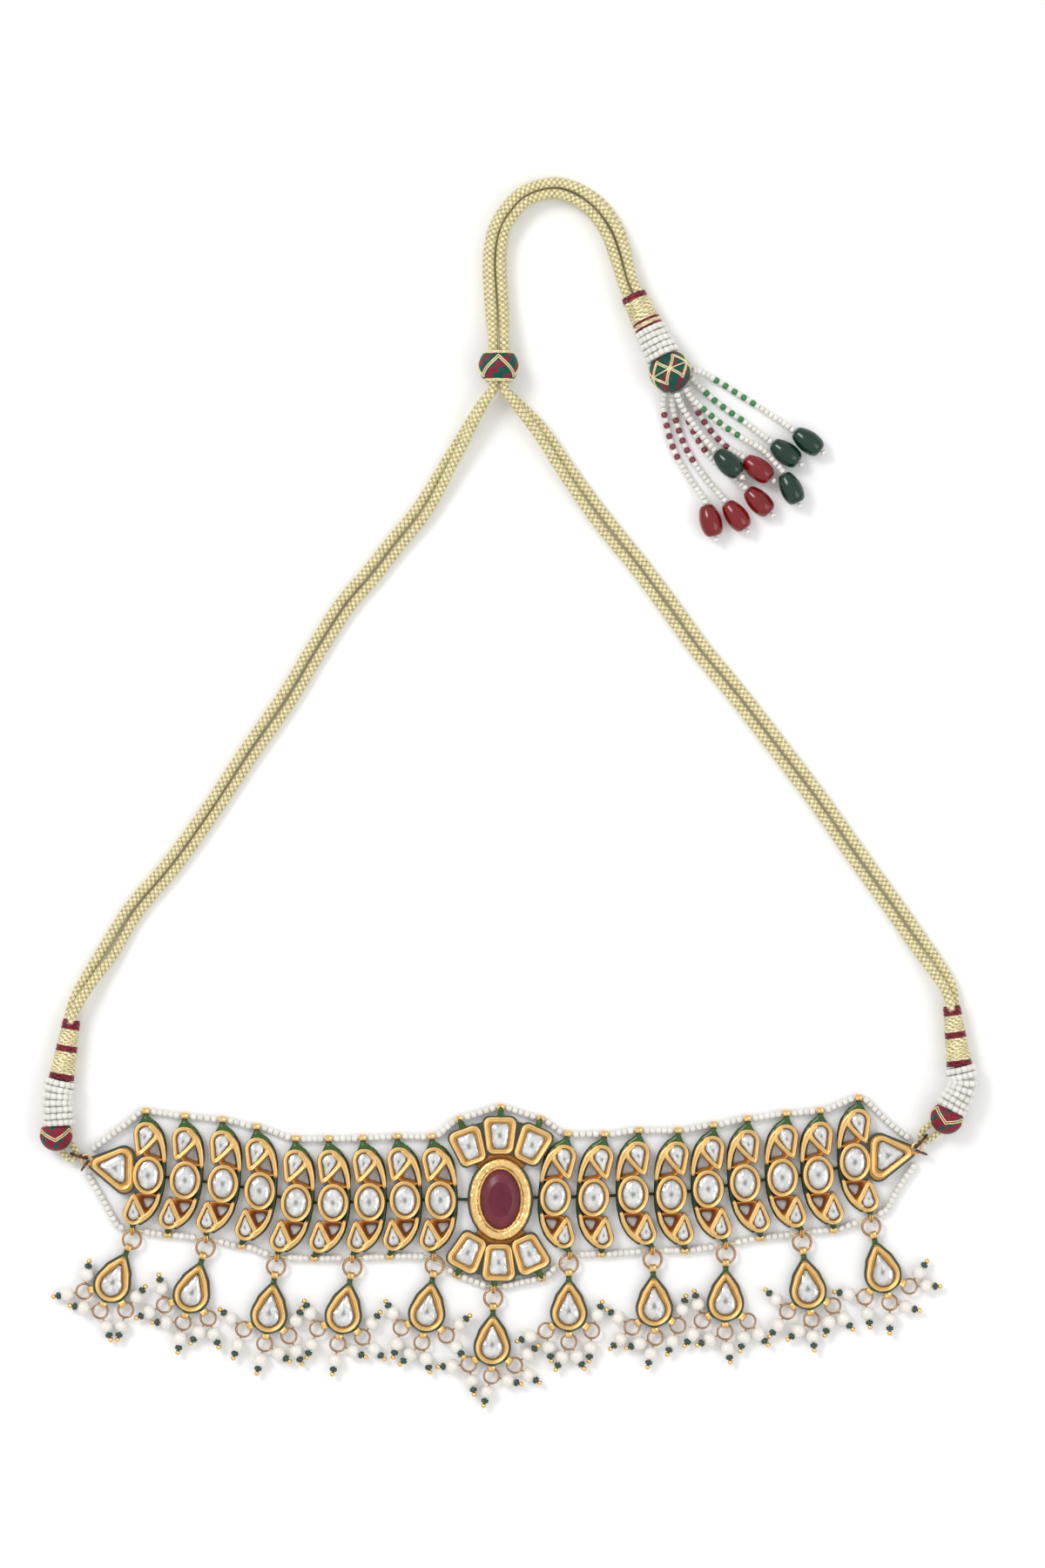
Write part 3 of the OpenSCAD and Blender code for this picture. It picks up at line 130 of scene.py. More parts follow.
STRANDS = {
    "strand_left_a": [
        [-97.1, 41.0, 1.9], [-95.8, 45.5, 1.8], [-92.5, 51.5, 1.4], [-89.5, 56.5, 1.15],
        [-83.5, 66.0, 1.15], [-75.0, 76.0, 1.15], [-66.0, 88.5, 1.15], [-57.5, 101.5, 1.15],
        [-49.5, 113.0, 1.15], [-42.5, 124.5, 1.15], [-36.0, 134.5, 1.15], [-30.5, 141.0, 1.15],
        [-25.0, 148.0, 1.15], [-18.5, 156.0, 1.2], [-12.0, 166.5, 1.5], [-6.5, 175.5, 2.3],
        [-3.2, 180.4, 3.0], [-1.6, 182.8, 3.4], [-1.6, 191.8, 3.4], [-1.8, 194.6, 2.9],
        [-2.4, 200.0, 1.7], [-2.8, 206.0, 1.2], [-2.9, 211.5, 1.15], [-2.0, 217.5, 1.15],
        [0.5, 222.5, 1.15], [5.0, 227.0, 1.15], [11.5, 229.0, 1.15], [17.0, 228.0, 1.15],
        [22.5, 224.5, 1.15], [26.2, 219.5, 1.15], [28.1, 214.5, 1.15], [29.1, 210.0, 1.3],
        [29.8, 206.7, 1.6], [30.8, 204.3, 1.85]],
    "strand_left_b": [
        [-96.2, 41.2, 4.15], [-94.3, 45.0, 3.8], [-90.5, 50.5, 2.6], [-86.8, 55.5, 1.6],
        [-81.4, 64.5, 1.15], [-72.4, 75.3, 1.15], [-63.6, 87.7, 1.15], [-55.2, 100.3, 1.15],
        [-47.2, 111.7, 1.15], [-40.4, 123.0, 1.15], [-34.0, 132.9, 1.15], [-28.2, 139.7, 1.2],
        [-22.9, 146.5, 1.4], [-16.2, 155.0, 2.0], [-10.6, 165.5, 3.2], [-5.8, 175.0, 4.6],
        [-3.0, 180.2, 5.4], [-1.6, 182.8, 5.75], [-1.6, 191.8, 5.75], [-1.7, 194.6, 5.2],
        [-1.8, 200.0, 4.1], [-2.2, 206.0, 3.5], [-2.4, 211.4, 3.5], [-1.6, 217.2, 3.5],
        [0.8, 222.2, 3.5], [5.2, 226.7, 3.5], [11.5, 228.6, 3.5], [16.8, 227.6, 3.5],
        [21.9, 224.0, 3.5], [25.7, 219.1, 3.5], [27.7, 214.3, 3.5], [28.9, 210.0, 3.7],
        [29.8, 206.7, 4.0], [30.8, 204.3, 4.25]],
    "strand_right_a": [
        [102.2, 44.0, 1.9], [101.6, 48.0, 1.8], [98.6, 53.5, 1.4], [94.8, 59.0, 1.15],
        [90.0, 66.0, 1.15], [81.0, 78.5, 1.15], [72.6, 90.5, 1.15], [63.5, 102.5, 1.15],
        [54.0, 114.8, 1.15], [46.0, 124.5, 1.15], [39.6, 133.4, 1.15], [32.0, 143.5, 1.15],
        [24.0, 153.5, 1.15], [16.5, 163.5, 1.3], [9.5, 173.5, 2.0], [3.2, 180.0, 3.0],
        [0.8, 182.8, 3.4], [0.8, 191.8, 3.4], [0.9, 194.6, 2.9], [0.9, 200.0, 1.7],
        [0.5, 206.0, 1.2], [0.3, 211.5, 1.15], [0.8, 216.8, 1.15], [2.2, 220.6, 1.15],
        [6.0, 224.6, 1.15], [11.5, 226.2, 1.15], [16.0, 225.2, 1.15], [20.5, 221.9, 1.15],
        [23.8, 217.0, 1.15], [25.6, 212.0, 1.15], [26.7, 208.8, 1.3], [27.6, 205.7, 1.6],
        [28.65, 203.3, 1.85]],
    "strand_right_b": [
        [101.2, 44.0, 4.15], [99.9, 47.5, 3.7], [96.4, 52.5, 2.6], [92.4, 58.0, 1.6],
        [87.8, 64.7, 1.15], [78.8, 77.2, 1.15], [70.5, 89.1, 1.15], [61.5, 101.0, 1.15],
        [52.1, 113.2, 1.15], [44.0, 123.0, 1.15], [37.6, 131.8, 1.15], [30.2, 141.8, 1.2],
        [22.4, 151.4, 1.6], [15.2, 161.5, 2.6], [8.6, 171.8, 4.2], [2.8, 179.6, 5.4],
        [0.8, 182.8, 5.75], [0.8, 191.8, 5.75], [0.8, 194.6, 5.2], [0.6, 200.0, 4.1],
        [0.2, 206.0, 3.5], [0.0, 211.6, 3.5], [0.7, 216.8, 3.5], [2.4, 220.4, 3.5],
        [6.1, 224.5, 3.5], [11.5, 226.2, 3.5], [16.0, 225.2, 3.5], [20.6, 221.9, 3.5],
        [23.9, 217.1, 3.5], [25.8, 212.1, 3.5], [26.7, 208.8, 3.7], [27.6, 205.7, 4.0],
        [28.65, 203.3, 4.25]],
}

TASSEL_STRINGS = [
    [[37.1, 181.8, 2.7], [36.6, 178.8, 1.5], [37.4, 174.5, 0.9], [38.6, 170.0, 0.9], [40.4, 166.0, 0.9],
     [42.6, 162.4, 0.9], [44.6, 159.4, 1.4], [45.9, 157.3, 2.65], [46.2, 156.3, 2.65]],
    [[38.8, 181.6, 2.7], [38.8, 178.6, 1.5], [39.8, 174.5, 0.9], [41.4, 170.0, 0.9], [43.6, 166.0, 0.9],
     [46.2, 162.4, 0.9], [48.6, 159.6, 1.4], [50.2, 157.6, 2.65], [50.8, 156.8, 2.65]],
    [[40.5, 182.2, 2.7], [40.9, 179.2, 1.5], [42.4, 175.2, 0.9], [44.4, 171.2, 0.9], [47.0, 167.4, 0.9],
     [50.0, 164.4, 0.9], [53.2, 161.8, 1.0], [54.8, 160.4, 2.65], [55.5, 159.7, 2.65]],
    [[42.2, 183.0, 2.6], [42.8, 180.5, 1.5], [44.8, 176.8, 0.9], [47.4, 173.0, 0.9], [50.0, 170.2, 0.9],
     [52.4, 168.4, 1.2], [54.2, 167.2, 2.65], [55.0, 166.6, 2.65]],
    [[39.6, 181.4, 5.5], [40.6, 178.6, 4.8], [43.0, 175.0, 3.6], [45.4, 171.8, 3.2], [47.6, 169.2, 3.5],
     [48.6, 168.2, 3.6]],
    [[41.4, 182.4, 5.5], [43.2, 179.9, 4.8], [46.8, 176.8, 3.4], [50.6, 173.8, 2.7], [54.6, 171.2, 2.7],
     [59.0, 168.6, 2.9], [61.9, 165.5, 3.5], [63.2, 164.3, 3.1], [63.7, 163.3, 3.1]],
    [[42.8, 185.1, 2.7], [44.4, 183.4, 1.5], [47.6, 180.4, 0.9], [51.2, 177.6, 0.9], [55.0, 175.0, 0.9],
     [58.4, 172.4, 1.4], [60.4, 170.8, 2.65], [61.2, 170.2, 2.65]],
    [[43.1, 186.5, 4.0], [45.4, 186.0, 2.6], [49.4, 183.9, 0.9], [54.0, 181.0, 0.9], [58.8, 178.0, 0.9],
     [63.0, 175.2, 1.4], [65.4, 173.4, 2.65], [66.2, 172.8, 2.65]],
]
RED_STRINGS = (0, 1, 2, 3)
CHECKED = {0: "maroon", 1: "maroon", 2: "maroon", 3: "maroon", 5: "leaf", 6: "leaf", 7: "leaf"}
# Profile of a glass drop: share of its length and share of its greatest radius
GLASS = [[0, 0.42], [0.04, 0.58], [0.14, 0.74], [0.36, 0.94], [0.6, 1], [0.82, 0.9], [0.95, 0.7], [1, 0.48]]


# ---- Settings that a user would change ----
def colour(name, description, r, g, b):
    """A colour property with a linear default."""
    return FloatVectorProperty(name=name, description=description, subtype="COLOR", size=3,
                               min=0.0, max=1.0, default=(r, g, b))


class NecklaceColours(bpy.types.PropertyGroup):
    """Colours of the finishes, linear."""
    gold: colour("Gold", "Light of the rolled gold bands", 0.86, 0.58, 0.24)
    # Painted shade: the darker gold laid in the bands' grooves, on their walls and on the plates' gold walls
    groove: colour("Groove", "Gold down in a groove", 0.55, 0.27, 0.06)
    enamel: colour("Enamel", "Dark green of the plates", 0.006, 0.022, 0.006)
    leaf: colour("Leaf green", "Bright green of the peaks and checked beads", 0.015, 0.20, 0.04)
    amber: colour("Amber", "Upper wall of a pierced opening", 0.66, 0.27, 0.04)
    # Painted shade: the colour the walls of a pierced opening darken to down at the hole
    opening_shade: colour("Umber", "Lower wall of a pierced opening", 0.20, 0.035, 0.008)
    foil: colour("Foil", "Silver foil behind a stone", 0.76, 0.76, 0.755)
    # Painted shade: the colour a stone's foil greys to on its sloping rim; darker still it makes the painted
    # culet point
    foil_rim_shade: colour("Foil edge", "Rim of a foiled stone", 0.40, 0.39, 0.36)
    ruby: colour("Ruby", "Table of the ruby", 0.115, 0.006, 0.020)
    frost: colour("Frost", "Frosted bevel of the ruby", 0.150, 0.022, 0.038)
    pearl: colour("Pearl", "Body of a pearl", 0.80, 0.77, 0.71)
    seed: colour("Seed bead", "Off-white of the seed beads", 0.78, 0.76, 0.71)
    bottle: colour("Bottle green", "Green seed beads and glass", 0.003, 0.040, 0.020)
    claret: colour("Claret", "Red glass drops", 0.27, 0.004, 0.006)
    cord: colour("Cord", "Metallic thread of the draw cord", 0.86, 0.78, 0.46)
    # Painted shade: the colour of the gaps of the braid
    cord_shade: colour("Cord shade", "Gaps of the braid", 0.24, 0.18, 0.06)
    maroon: colour("Maroon thread", "Red thread of wraps and balls", 0.20, 0.012, 0.030)
    teal: colour("Teal thread", "Green thread of the balls", 0.003, 0.070, 0.048)
    zari: colour("Zari", "Gold thread on the balls", 0.82, 0.72, 0.42)
    rose: colour("Rose gold", "Jump rings", 0.42, 0.26, 0.15)
    bronze: colour("Bronze", "Rings at the ends", 0.13, 0.06, 0.035)


class NecklaceSizes(bpy.types.PropertyGroup):
    """Sizes of the added detail, in millimetres."""
    band_top: FloatProperty(name="Band top", description="Height of a rolled band's crest", default=2.94,
                            min=2.7, max=3.2)
    bead_pitch: FloatProperty(name="Bead pitch", description="Spacing of the seed beads", default=1.37,
                              min=1.1, max=1.8)
    bead_radius: FloatProperty(name="Bead radius", description="Radius of a seed bead", default=0.86,
                               min=0.6, max=1.0)
    braid_pitch: FloatProperty(name="Braid pitch", description="Length of one crossing of the braid",
                               default=1.25, min=0.8, max=3.0)
    braid_relief: FloatProperty(name="Braid relief", description="Depth of the braid", default=0.14,
                                min=0.0, max=0.3)
    thread_pitch: FloatProperty(name="Thread pitch", description="Spacing of wound thread", default=0.56,
                                min=0.25, max=0.8)
    path_steps: IntProperty(name="Path steps", description="Steps round a gold band", default=56,
                            min=24, max=120)
    floor_size: FloatProperty(name="Floor", description="Side of the floor", default=6.0, min=1.0, max=20.0,
                              unit="LENGTH")


# ---- Flat geometry ----
def unit(v):
    """Vectors divided by their length, along the last axis."""
    v = np.asarray(v, float)
    return v / np.maximum(np.linalg.norm(v, axis=-1, keepdims=True), 1e-12)


def turned(points, degrees):
    """Points rotated about the origin: x cos a - y sin a, x sin a + y cos a."""
    points = np.asarray(points, float)
    a = np.radians(degrees)
    return np.stack([points[..., 0] * np.cos(a) - points[..., 1] * np.sin(a),
                     points[..., 0] * np.sin(a) + points[..., 1] * np.cos(a)], axis=-1)


def link_row(side, k):
    """Row of one link."""
    return (LEFT_LINKS if side < 0 else RIGHT_LINKS)[k - 1]


def in_link(side, k, rows):
    """Circle rows of a link moved to their place: turned, shifted and mirrored on the right side."""
    row, rows = link_row(side, k), np.atleast_2d(np.asarray(rows, float))
    q = turned(rows[:, :2], row[2])
    return np.column_stack([-side * (q[:, 0] - row[0]), q[:, 1] + row[1], rows[:, 2:]])


def foot_lug(side, k):
    """Place of a link's foot lug."""
    return in_link(side, k, [[link_row(side, k)[3], FOOT_UP, 0]])[0, :2]


def in_petal(p, rows):
    """Circle rows of a petal moved to their place: turned by the petal's angle and shifted."""
    rows = np.asarray(rows, float)
    return np.column_stack([turned(rows[:, :2], p[2]) + np.array(p[:2]), rows[:, 2]])


def grown(rows, by):
    """Circle rows with a larger radius."""
    rows = np.array(rows, float)
    rows[:, 2] += by
    return rows


def evened(points, normals, n):
    """A closed outline sampled at n equal steps of its length, with its normals."""
    ends = np.vstack([points, points[:1]])
    more = np.vstack([normals, normals[:1]])
    far = np.concatenate([[0], np.cumsum(np.linalg.norm(np.diff(ends, axis=0), axis=1))])
    s = np.linspace(0, far[-1], n, endpoint=False)
    pick = [np.interp(s, far, column) for column in np.hstack([ends, more]).T]
    return np.stack(pick[:2], axis=1), unit(np.stack(pick[2:], axis=1))


def round_outline(rows, n):
    """Outline of the convex body round a few circles: in each direction d the point of greatest p.d + r."""
    rows = np.asarray(rows, float)
    a = np.linspace(0, 2 * np.pi, 8 * n, endpoint=False)
    d = np.stack([np.cos(a), np.sin(a)], axis=1)
    best = rows[np.argmax(d @ rows[:, :2].T + rows[:, 2], axis=1)]
    return evened(best[:, :2] + best[:, 2:3] * d, d, n)


def oval_outline(width, height, middle, spin, n):
    """Ellipse x = w/2 cos t, y = h/2 sin t, turned and shifted, with outward normals."""
    t = np.linspace(0, 2 * np.pi, 4 * n, endpoint=False)
    p = np.stack([width / 2 * np.cos(t), height / 2 * np.sin(t)], axis=1)
    d = unit(np.stack([np.cos(t) / width, np.sin(t) / height], axis=1))
    return evened(turned(p, spin) + np.asarray(middle), turned(d, spin), n)


def smooth_path(points, step):
    """Catmull-Rom curve through the points, sampled at equal steps of its length."""
    p = np.asarray(points, float)
    p = np.vstack([2 * p[0] - p[1], p, 2 * p[-1] - p[-2]])
    t = np.linspace(0, 1, 24, endpoint=False)[None, :, None]
    a, b, c, d = (p[i:len(p) - 3 + i][:, None, :] for i in range(4))
    curve = 0.5 * (2 * b + (c - a) * t + (2 * a - 5 * b + 4 * c - d) * t ** 2
                   + (3 * b - 3 * c + d - a) * t ** 3)
    curve = np.vstack([curve.reshape(-1, p.shape[1]), p[-2]])
    far = np.concatenate([[0], np.cumsum(np.linalg.norm(np.diff(curve, axis=0), axis=1))])
    s = np.linspace(0, far[-1], max(2, int(round(far[-1] / step)) + 1))
    return np.stack([np.interp(s, far, column) for column in curve.T], axis=1), s


# ---- Surfaces ----
def grid(points, shades, wrap_u=True, wrap_v=True, uv=None):
    """A surface from an array of points (u, v, 3): one quad between neighbours, wrapped where asked."""
    nu, nv = points.shape[:2]
    i = np.arange(nu if wrap_u else nu - 1)[:, None]
    j = np.arange(nv if wrap_v else nv - 1)[None, :]
    i2, j2 = (i + 1) % nu, (j + 1) % nv
    quads = np.stack(np.broadcast_arrays(i * nv + j, i2 * nv + j, i2 * nv + j2, i * nv + j2), axis=-1)
    if uv is None:
        uv = np.zeros((nu, nv, 2))
    return points.reshape(-1, 3), quads.reshape(-1, 4), np.broadcast_to(shades, (nu, nv, 3)).reshape(-1, 3), \
        np.broadcast_to(uv, (nu, nv, 2)).reshape(-1, 2)


def joined(parts):
    """Surfaces put into one: their arrays in a row, with the corners counted on."""
    start = np.cumsum([0] + [len(p[0]) for p in parts[:-1]])
    return (np.vstack([p[0] for p in parts]), np.vstack([p[1] + s for p, s in zip(parts, start)]),
            np.vstack([p[2] for p in parts]), np.vstack([p[3] for p in parts]))


def blend_colours(a, b, share):
    """Colour a where share is 0 and b where it is 1."""
    share = np.asarray(share, float)[..., None]
    return np.asarray(a) * (1 - share) + np.asarray(b) * share


def band(path, normals, profile, shades):
    """A closed profile carried round an outline: point + normal * d, at height z, for each (d, z)."""
    profile = np.asarray(profile, float)
    flat = path[:, None, :] + normals[:, None, :] * profile[None, :, :1]
    z = np.broadcast_to(profile[None, :, 1:], flat.shape[:2] + (1,))
    return grid(np.concatenate([flat, z], axis=2), shades[None])


def bar(rows, profile, shades, step=0.35):
    """A closed profile carried along an open stroke whose half width is the circle radius. The width
    and the height above the profile's foot shrink as a half circle at both ends."""
    rows = np.asarray(rows, float)
    aim = unit(np.array([rows[0, :2] - rows[1, :2], rows[-1, :2] - rows[-2, :2]]))
    first = np.concatenate([rows[0, :2] + rows[0, 2] * aim[0], rows[0, 2:]])
    last = np.concatenate([rows[-1, :2] + rows[-1, 2] * aim[1], rows[-1, 2:]])
    line, s = smooth_path(np.vstack([first, rows, last]), step)
    near = np.minimum(s, s[-1] - s) / np.maximum(line[:, 2], 1e-6)
    cap = np.sqrt(np.clip(1 - np.clip(1 - near, 0, 1) ** 2, 0, 1))[:, None]
    t = unit(np.gradient(line[:, :2], axis=0))
    n = np.stack([t[:, 1], -t[:, 0]], axis=1)
    profile = np.asarray(profile, float)
    flat = line[:, None, :2] + n[:, None] * (line[:, 2:, None] * cap[..., None] * profile[None, :, :1])
    z = profile[0, 1] + (profile[None, :, 1] - profile[0, 1]) * cap ** 0.6
    return grid(np.concatenate([flat, z[..., None]], axis=2), shades[None], wrap_u=False)


def dome(path, middle, levels, shades):
    """Rings of an outline shrunk to its middle: middle + share * (p - middle), at height z, per level."""
    levels = np.asarray(levels, float)
    rim = np.asarray(middle) + levels[:, None, :1] * (path[None] - np.asarray(middle))
    z = np.broadcast_to(levels[:, None, 1:], rim.shape[:2] + (1,))
    points = np.transpose(np.concatenate([rim, z], axis=2), (1, 0, 2))
    return grid(points, shades, wrap_v=False)


def frames(path):
    """Unit vectors across a path: one level, and one across that and the path."""
    t = unit(np.gradient(path, axis=0))
    level = unit(np.cross(UP, t))
    return level, np.cross(level, t)


def tube(path, radius, around, shades, s=None):
    """Rings of radius r(u, v) across a path: p + r (cos a * level + sin a * other). UV is length, angle."""
    level, other = frames(path)
    a = np.linspace(0, 2 * np.pi, around, endpoint=False)[None, :] + np.zeros((len(path), 1))
    r = np.broadcast_to(radius, (len(path), around))[..., None]
    points = path[:, None] + r * (np.cos(a)[..., None] * level[:, None]
                                  + np.sin(a)[..., None] * other[:, None])
    length = np.zeros(len(path)) if s is None else s
    uv = np.stack([np.broadcast_to(length[:, None], a.shape), a / (2 * np.pi)], axis=-1)
    return grid(points, shades, wrap_u=False, uv=uv)


def closed_tube(path, radius, around, shades, s=None):
    """A tube whose two ends shrink to a point at the path's own ends."""
    radius = np.array(np.broadcast_to(radius, (len(path), around)), float)
    radius[0] = radius[-1] = 1e-4
    return tube(path, radius, around, shades, s)


def axes(aim):
    """Two unit vectors across a unit direction, the first level where the direction isn't upright."""
    side = unit(np.cross(UP, aim) if abs(aim[2]) < 0.99 else np.array([1.0, 0.0, 0.0]))
    return side, np.cross(side, aim)


def lathe(at, aim, profile, around, shades, wrap=False, ripple=0.0):
    """A profile of (distance along, radius + ripple) turned round an axis through a point."""
    profile = np.asarray(profile, float)
    aim = unit(aim)
    side, up = axes(aim)
    a = np.linspace(0, 2 * np.pi, around, endpoint=False)
    ring = np.cos(a)[:, None] * side + np.sin(a)[:, None] * up
    reach = profile[:, None, 1:] + np.broadcast_to(ripple, (len(profile), around))[..., None]
    points = np.asarray(at) + profile[:, None, :1] * aim + reach * ring[None]
    uv = np.stack(np.broadcast_arrays(profile[:, :1], a[None] / (2 * np.pi)), axis=-1)
    shades = np.asarray(shades, float)
    if shades.ndim == 2:
        shades = shades[:, None]
    return grid(points, shades, wrap_u=wrap, uv=uv)


BEAD = np.array([[-0.30, 0.0], [-0.62, 0.40], [-0.55, 0.84], [0.0, 1.0], [0.55, 0.84], [0.62, 0.40],
                 [0.30, 0.0]])


def beads(at, aims, along, across, shades, profile=BEAD, around=8):
    """One small turned body per point: at + along * z * aim + across * r * (cos a * side + sin a * up)."""
    at, aims = np.atleast_2d(at), unit(np.atleast_2d(aims))
    along, across = (np.broadcast_to(v, (len(at),))[:, None, None, None] for v in (along, across))
    seed = np.where(np.abs(aims[:, 2:]) < 0.95, [[0.0, 0.0, 1.0]], [[1.0, 0.0, 0.0]])
    side = unit(np.cross(seed, aims))
    up = np.cross(side, aims)
    a = np.linspace(0, 2 * np.pi, around, endpoint=False)
    ring = np.cos(a)[None, :, None] * side[:, None] + np.sin(a)[None, :, None] * up[:, None]
    z, r = profile[:, 0][None, :, None, None], np.maximum(profile[:, 1], 1e-3)[None, :, None, None]
    points = at[:, None, None] + along * z * aims[:, None, None] + across * r * ring[:, None]
    n, m = len(at), len(profile)
    i = np.arange(m - 1)[:, None]
    j = np.arange(around)[None, :]
    j2 = (j + 1) % around
    one = np.stack(np.broadcast_arrays(i * around + j, (i + 1) * around + j, (i + 1) * around + j2,
                                       i * around + j2), axis=-1).reshape(-1, 4)
    quads = (one[None] + (np.arange(n) * m * around)[:, None, None]).reshape(-1, 4)
    shades = np.broadcast_to(np.atleast_2d(shades)[:, None], (n, m * around, 3)).reshape(-1, 3)
    return points.reshape(-1, 3), quads, shades, np.zeros((n * m * around, 2))


def torus(at, aim, radius, wire, around, shades, ribs=8):
    """Wire ring: the profile circle of the wire, turned round an axis."""
    b = np.linspace(0, 2 * np.pi, ribs, endpoint=False)
    profile = np.stack([wire * np.sin(b), radius + wire * np.cos(b)], axis=1)
    return lathe(at, aim, profile, around, shades, wrap=True)


def piece(name, surface, finish, replaces=(), smooth=True):
    """Writes a surface as a mesh object in metres, with its colours and UV, riding on the root body."""
    points, quads, shades, uv = surface
    mesh = bpy.data.meshes.new(name)
    mesh.from_pydata((np.asarray(points) * MM).tolist(), [], quads.tolist())
    paint = mesh.attributes.new("paint", "FLOAT_COLOR", "POINT")
    paint.data.foreach_set("color", np.hstack([shades, np.ones((len(shades), 1))]).ravel())
    run = np.asarray(uv, float)[quads]
    turn = run[..., 1]
    turn[(np.ptp(turn, axis=1, keepdims=True) > 0.5) & (turn < 0.5)] += 1.0
    mesh.uv_layers.new(name="run").data.foreach_set("uv", run.ravel())
    mesh.polygons.foreach_set("use_smooth", np.full(len(mesh.polygons), smooth))
    mesh.materials.append(surface_of(finish))
    shell = bmesh.new()
    shell.from_mesh(mesh)
    bmesh.ops.remove_doubles(shell, verts=shell.verts, dist=1.5e-6)
    shell.to_mesh(mesh)
    shell.free()
    mesh.update()
    made = bpy.data.objects.new(name, mesh)
    bpy.context.scene.collection.objects.link(made)
    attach(made, "root")
    if replaces:
        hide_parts(*replaces)
    return made


# ---- Finishes ----
def node(tree, kind, inputs=None, **settings):
    """A shader node: its settings first, then its inputs, each a value or another node's output."""
    made = tree.nodes.new(kind)
    for key, value in settings.items():
        setattr(made, key, value)
    for key, value in (inputs or {}).items():
        if isinstance(value, bpy.types.NodeSocket):
            tree.links.new(value, made.inputs[key])
        else:
            made.inputs[key].default_value = value
    return made


def calc(tree, operation, a, b=0.0, c=0.0):
    """The output of one Math node."""
    return node(tree, "ShaderNodeMath", {0: a, 1: b, 2: c}, operation=operation).outputs[0]


def new_group(name, inputs, outputs):
    """An empty shader node group with named sockets; a socket's kind follows from its default."""
    tree = bpy.data.node_groups.new(name, "ShaderNodeTree")
    for key, default in inputs.items():
        kind = "NodeSocketColor" if isinstance(default, tuple) else "NodeSocketFloat"
        tree.interface.new_socket(key, in_out="INPUT", socket_type=kind).default_value = default
    for key, kind in outputs.items():
        tree.interface.new_socket(key, in_out="OUTPUT", socket_type=kind)
    return tree, tree.nodes.new("NodeGroupInput").outputs, tree.nodes.new("NodeGroupOutput").inputs


def mottle_group():
    """Handwork: noise on Object coordinates makes the colour lighter and darker, shifts the
    roughness and gives a fine grain for the bump."""
    tree, given, out = new_group("Mottle", {"Color": (0.5, 0.5, 0.5, 1.0), "Scale": 800.0, "Amount": 0.15,
                                            "Roughness": 0.3, "Spread": 0.1, "Grain": 6.0},
                                 {"Color": "NodeSocketColor", "Roughness": "NodeSocketFloat",
                                  "Height": "NodeSocketFloat"})
    place = node(tree, "ShaderNodeTexCoord").outputs["Object"]
    broad = node(tree, "ShaderNodeTexNoise", {"Vector": place, "Scale": given["Scale"], "Detail": 3.0})
    fine = node(tree, "ShaderNodeTexNoise", {"Vector": place, "Detail": 2.0,
                                             "Scale": calc(tree, "MULTIPLY", given["Scale"], given["Grain"])})
    swing = calc(tree, "MULTIPLY_ADD", broad.outputs["Fac"], 2.0, -1.0)
    gain = calc(tree, "MULTIPLY_ADD", swing, given["Amount"], 1.0)
    lit = node(tree, "ShaderNodeVectorMath", {0: given["Color"], "Scale": gain}, operation="SCALE")
    tree.links.new(lit.outputs[0], out["Color"])
    tree.links.new(calc(tree, "MULTIPLY_ADD", swing, given["Spread"], given["Roughness"]), out["Roughness"])
    tree.links.new(calc(tree, "MULTIPLY_ADD", broad.outputs["Fac"], 0.6, fine.outputs["Fac"]), out["Height"])
    return tree


def strand_group():
    """Fine strands on a wound or braided surface: sine of its length and angle, once for each lean.
    Shade scales the colour with that sine: painted light on the strands and painted shade between them.
    """
    tree, given, out = new_group("Strands", {"Along": 2.0, "Around": 12.0, "Depth": 0.3},
                                 {"Shade": "NodeSocketFloat", "Height": "NodeSocketFloat"})
    run = node(tree, "ShaderNodeSeparateXYZ", {0: node(tree, "ShaderNodeUVMap", uv_map="run").outputs[0]})
    ahead = calc(tree, "MULTIPLY", run.outputs["X"], given["Along"])
    lean = calc(tree, "MULTIPLY", run.outputs["Y"], given["Around"])
    left, right = (calc(tree, "SINE", calc(tree, "MULTIPLY", calc(tree, kind, ahead, lean), 2 * math.pi))
                   for kind in ("ADD", "SUBTRACT"))
    high = calc(tree, "MAXIMUM", left, right)
    tree.links.new(high, out["Height"])
    tree.links.new(calc(tree, "MULTIPLY_ADD", high, given["Depth"], 1.0), out["Shade"])
    return tree


def blank(name):
    """A new material with its tree and its principled shader."""
    made = bpy.data.materials.new(name)
    made.use_nodes = True
    return made, made.node_tree, made.node_tree.nodes["Principled BSDF"]


def bumped(tree, shader, height, strength, distance):
    """Puts a bump of constant strength and distance, in metres, on a shader."""
    bump = node(tree, "ShaderNodeBump", {"Height": height, "Strength": strength, "Distance": distance})
    tree.links.new(bump.outputs["Normal"], shader.inputs["Normal"])


def painted(tree):
    """The colour that a piece's own points carry."""
    given = node(tree, "ShaderNodeAttribute", attribute_name="paint", attribute_type="GEOMETRY")
    return given.outputs["Color"]


def mottled(tree, shader, tint, scale, amount, rough, spread, grain):
    """The Mottle group on a colour, led to a shader's colour and roughness."""
    worked = node(tree, "ShaderNodeGroup", {"Color": tint, "Scale": scale, "Amount": amount,
                                            "Roughness": rough, "Spread": spread, "Grain": grain},
                  node_tree=bpy.data.node_groups["Mottle"])
    for key in ("Base Color", "Roughness"):
        tree.links.new(worked.outputs[key.split()[-1]], shader.inputs[key])
    return worked


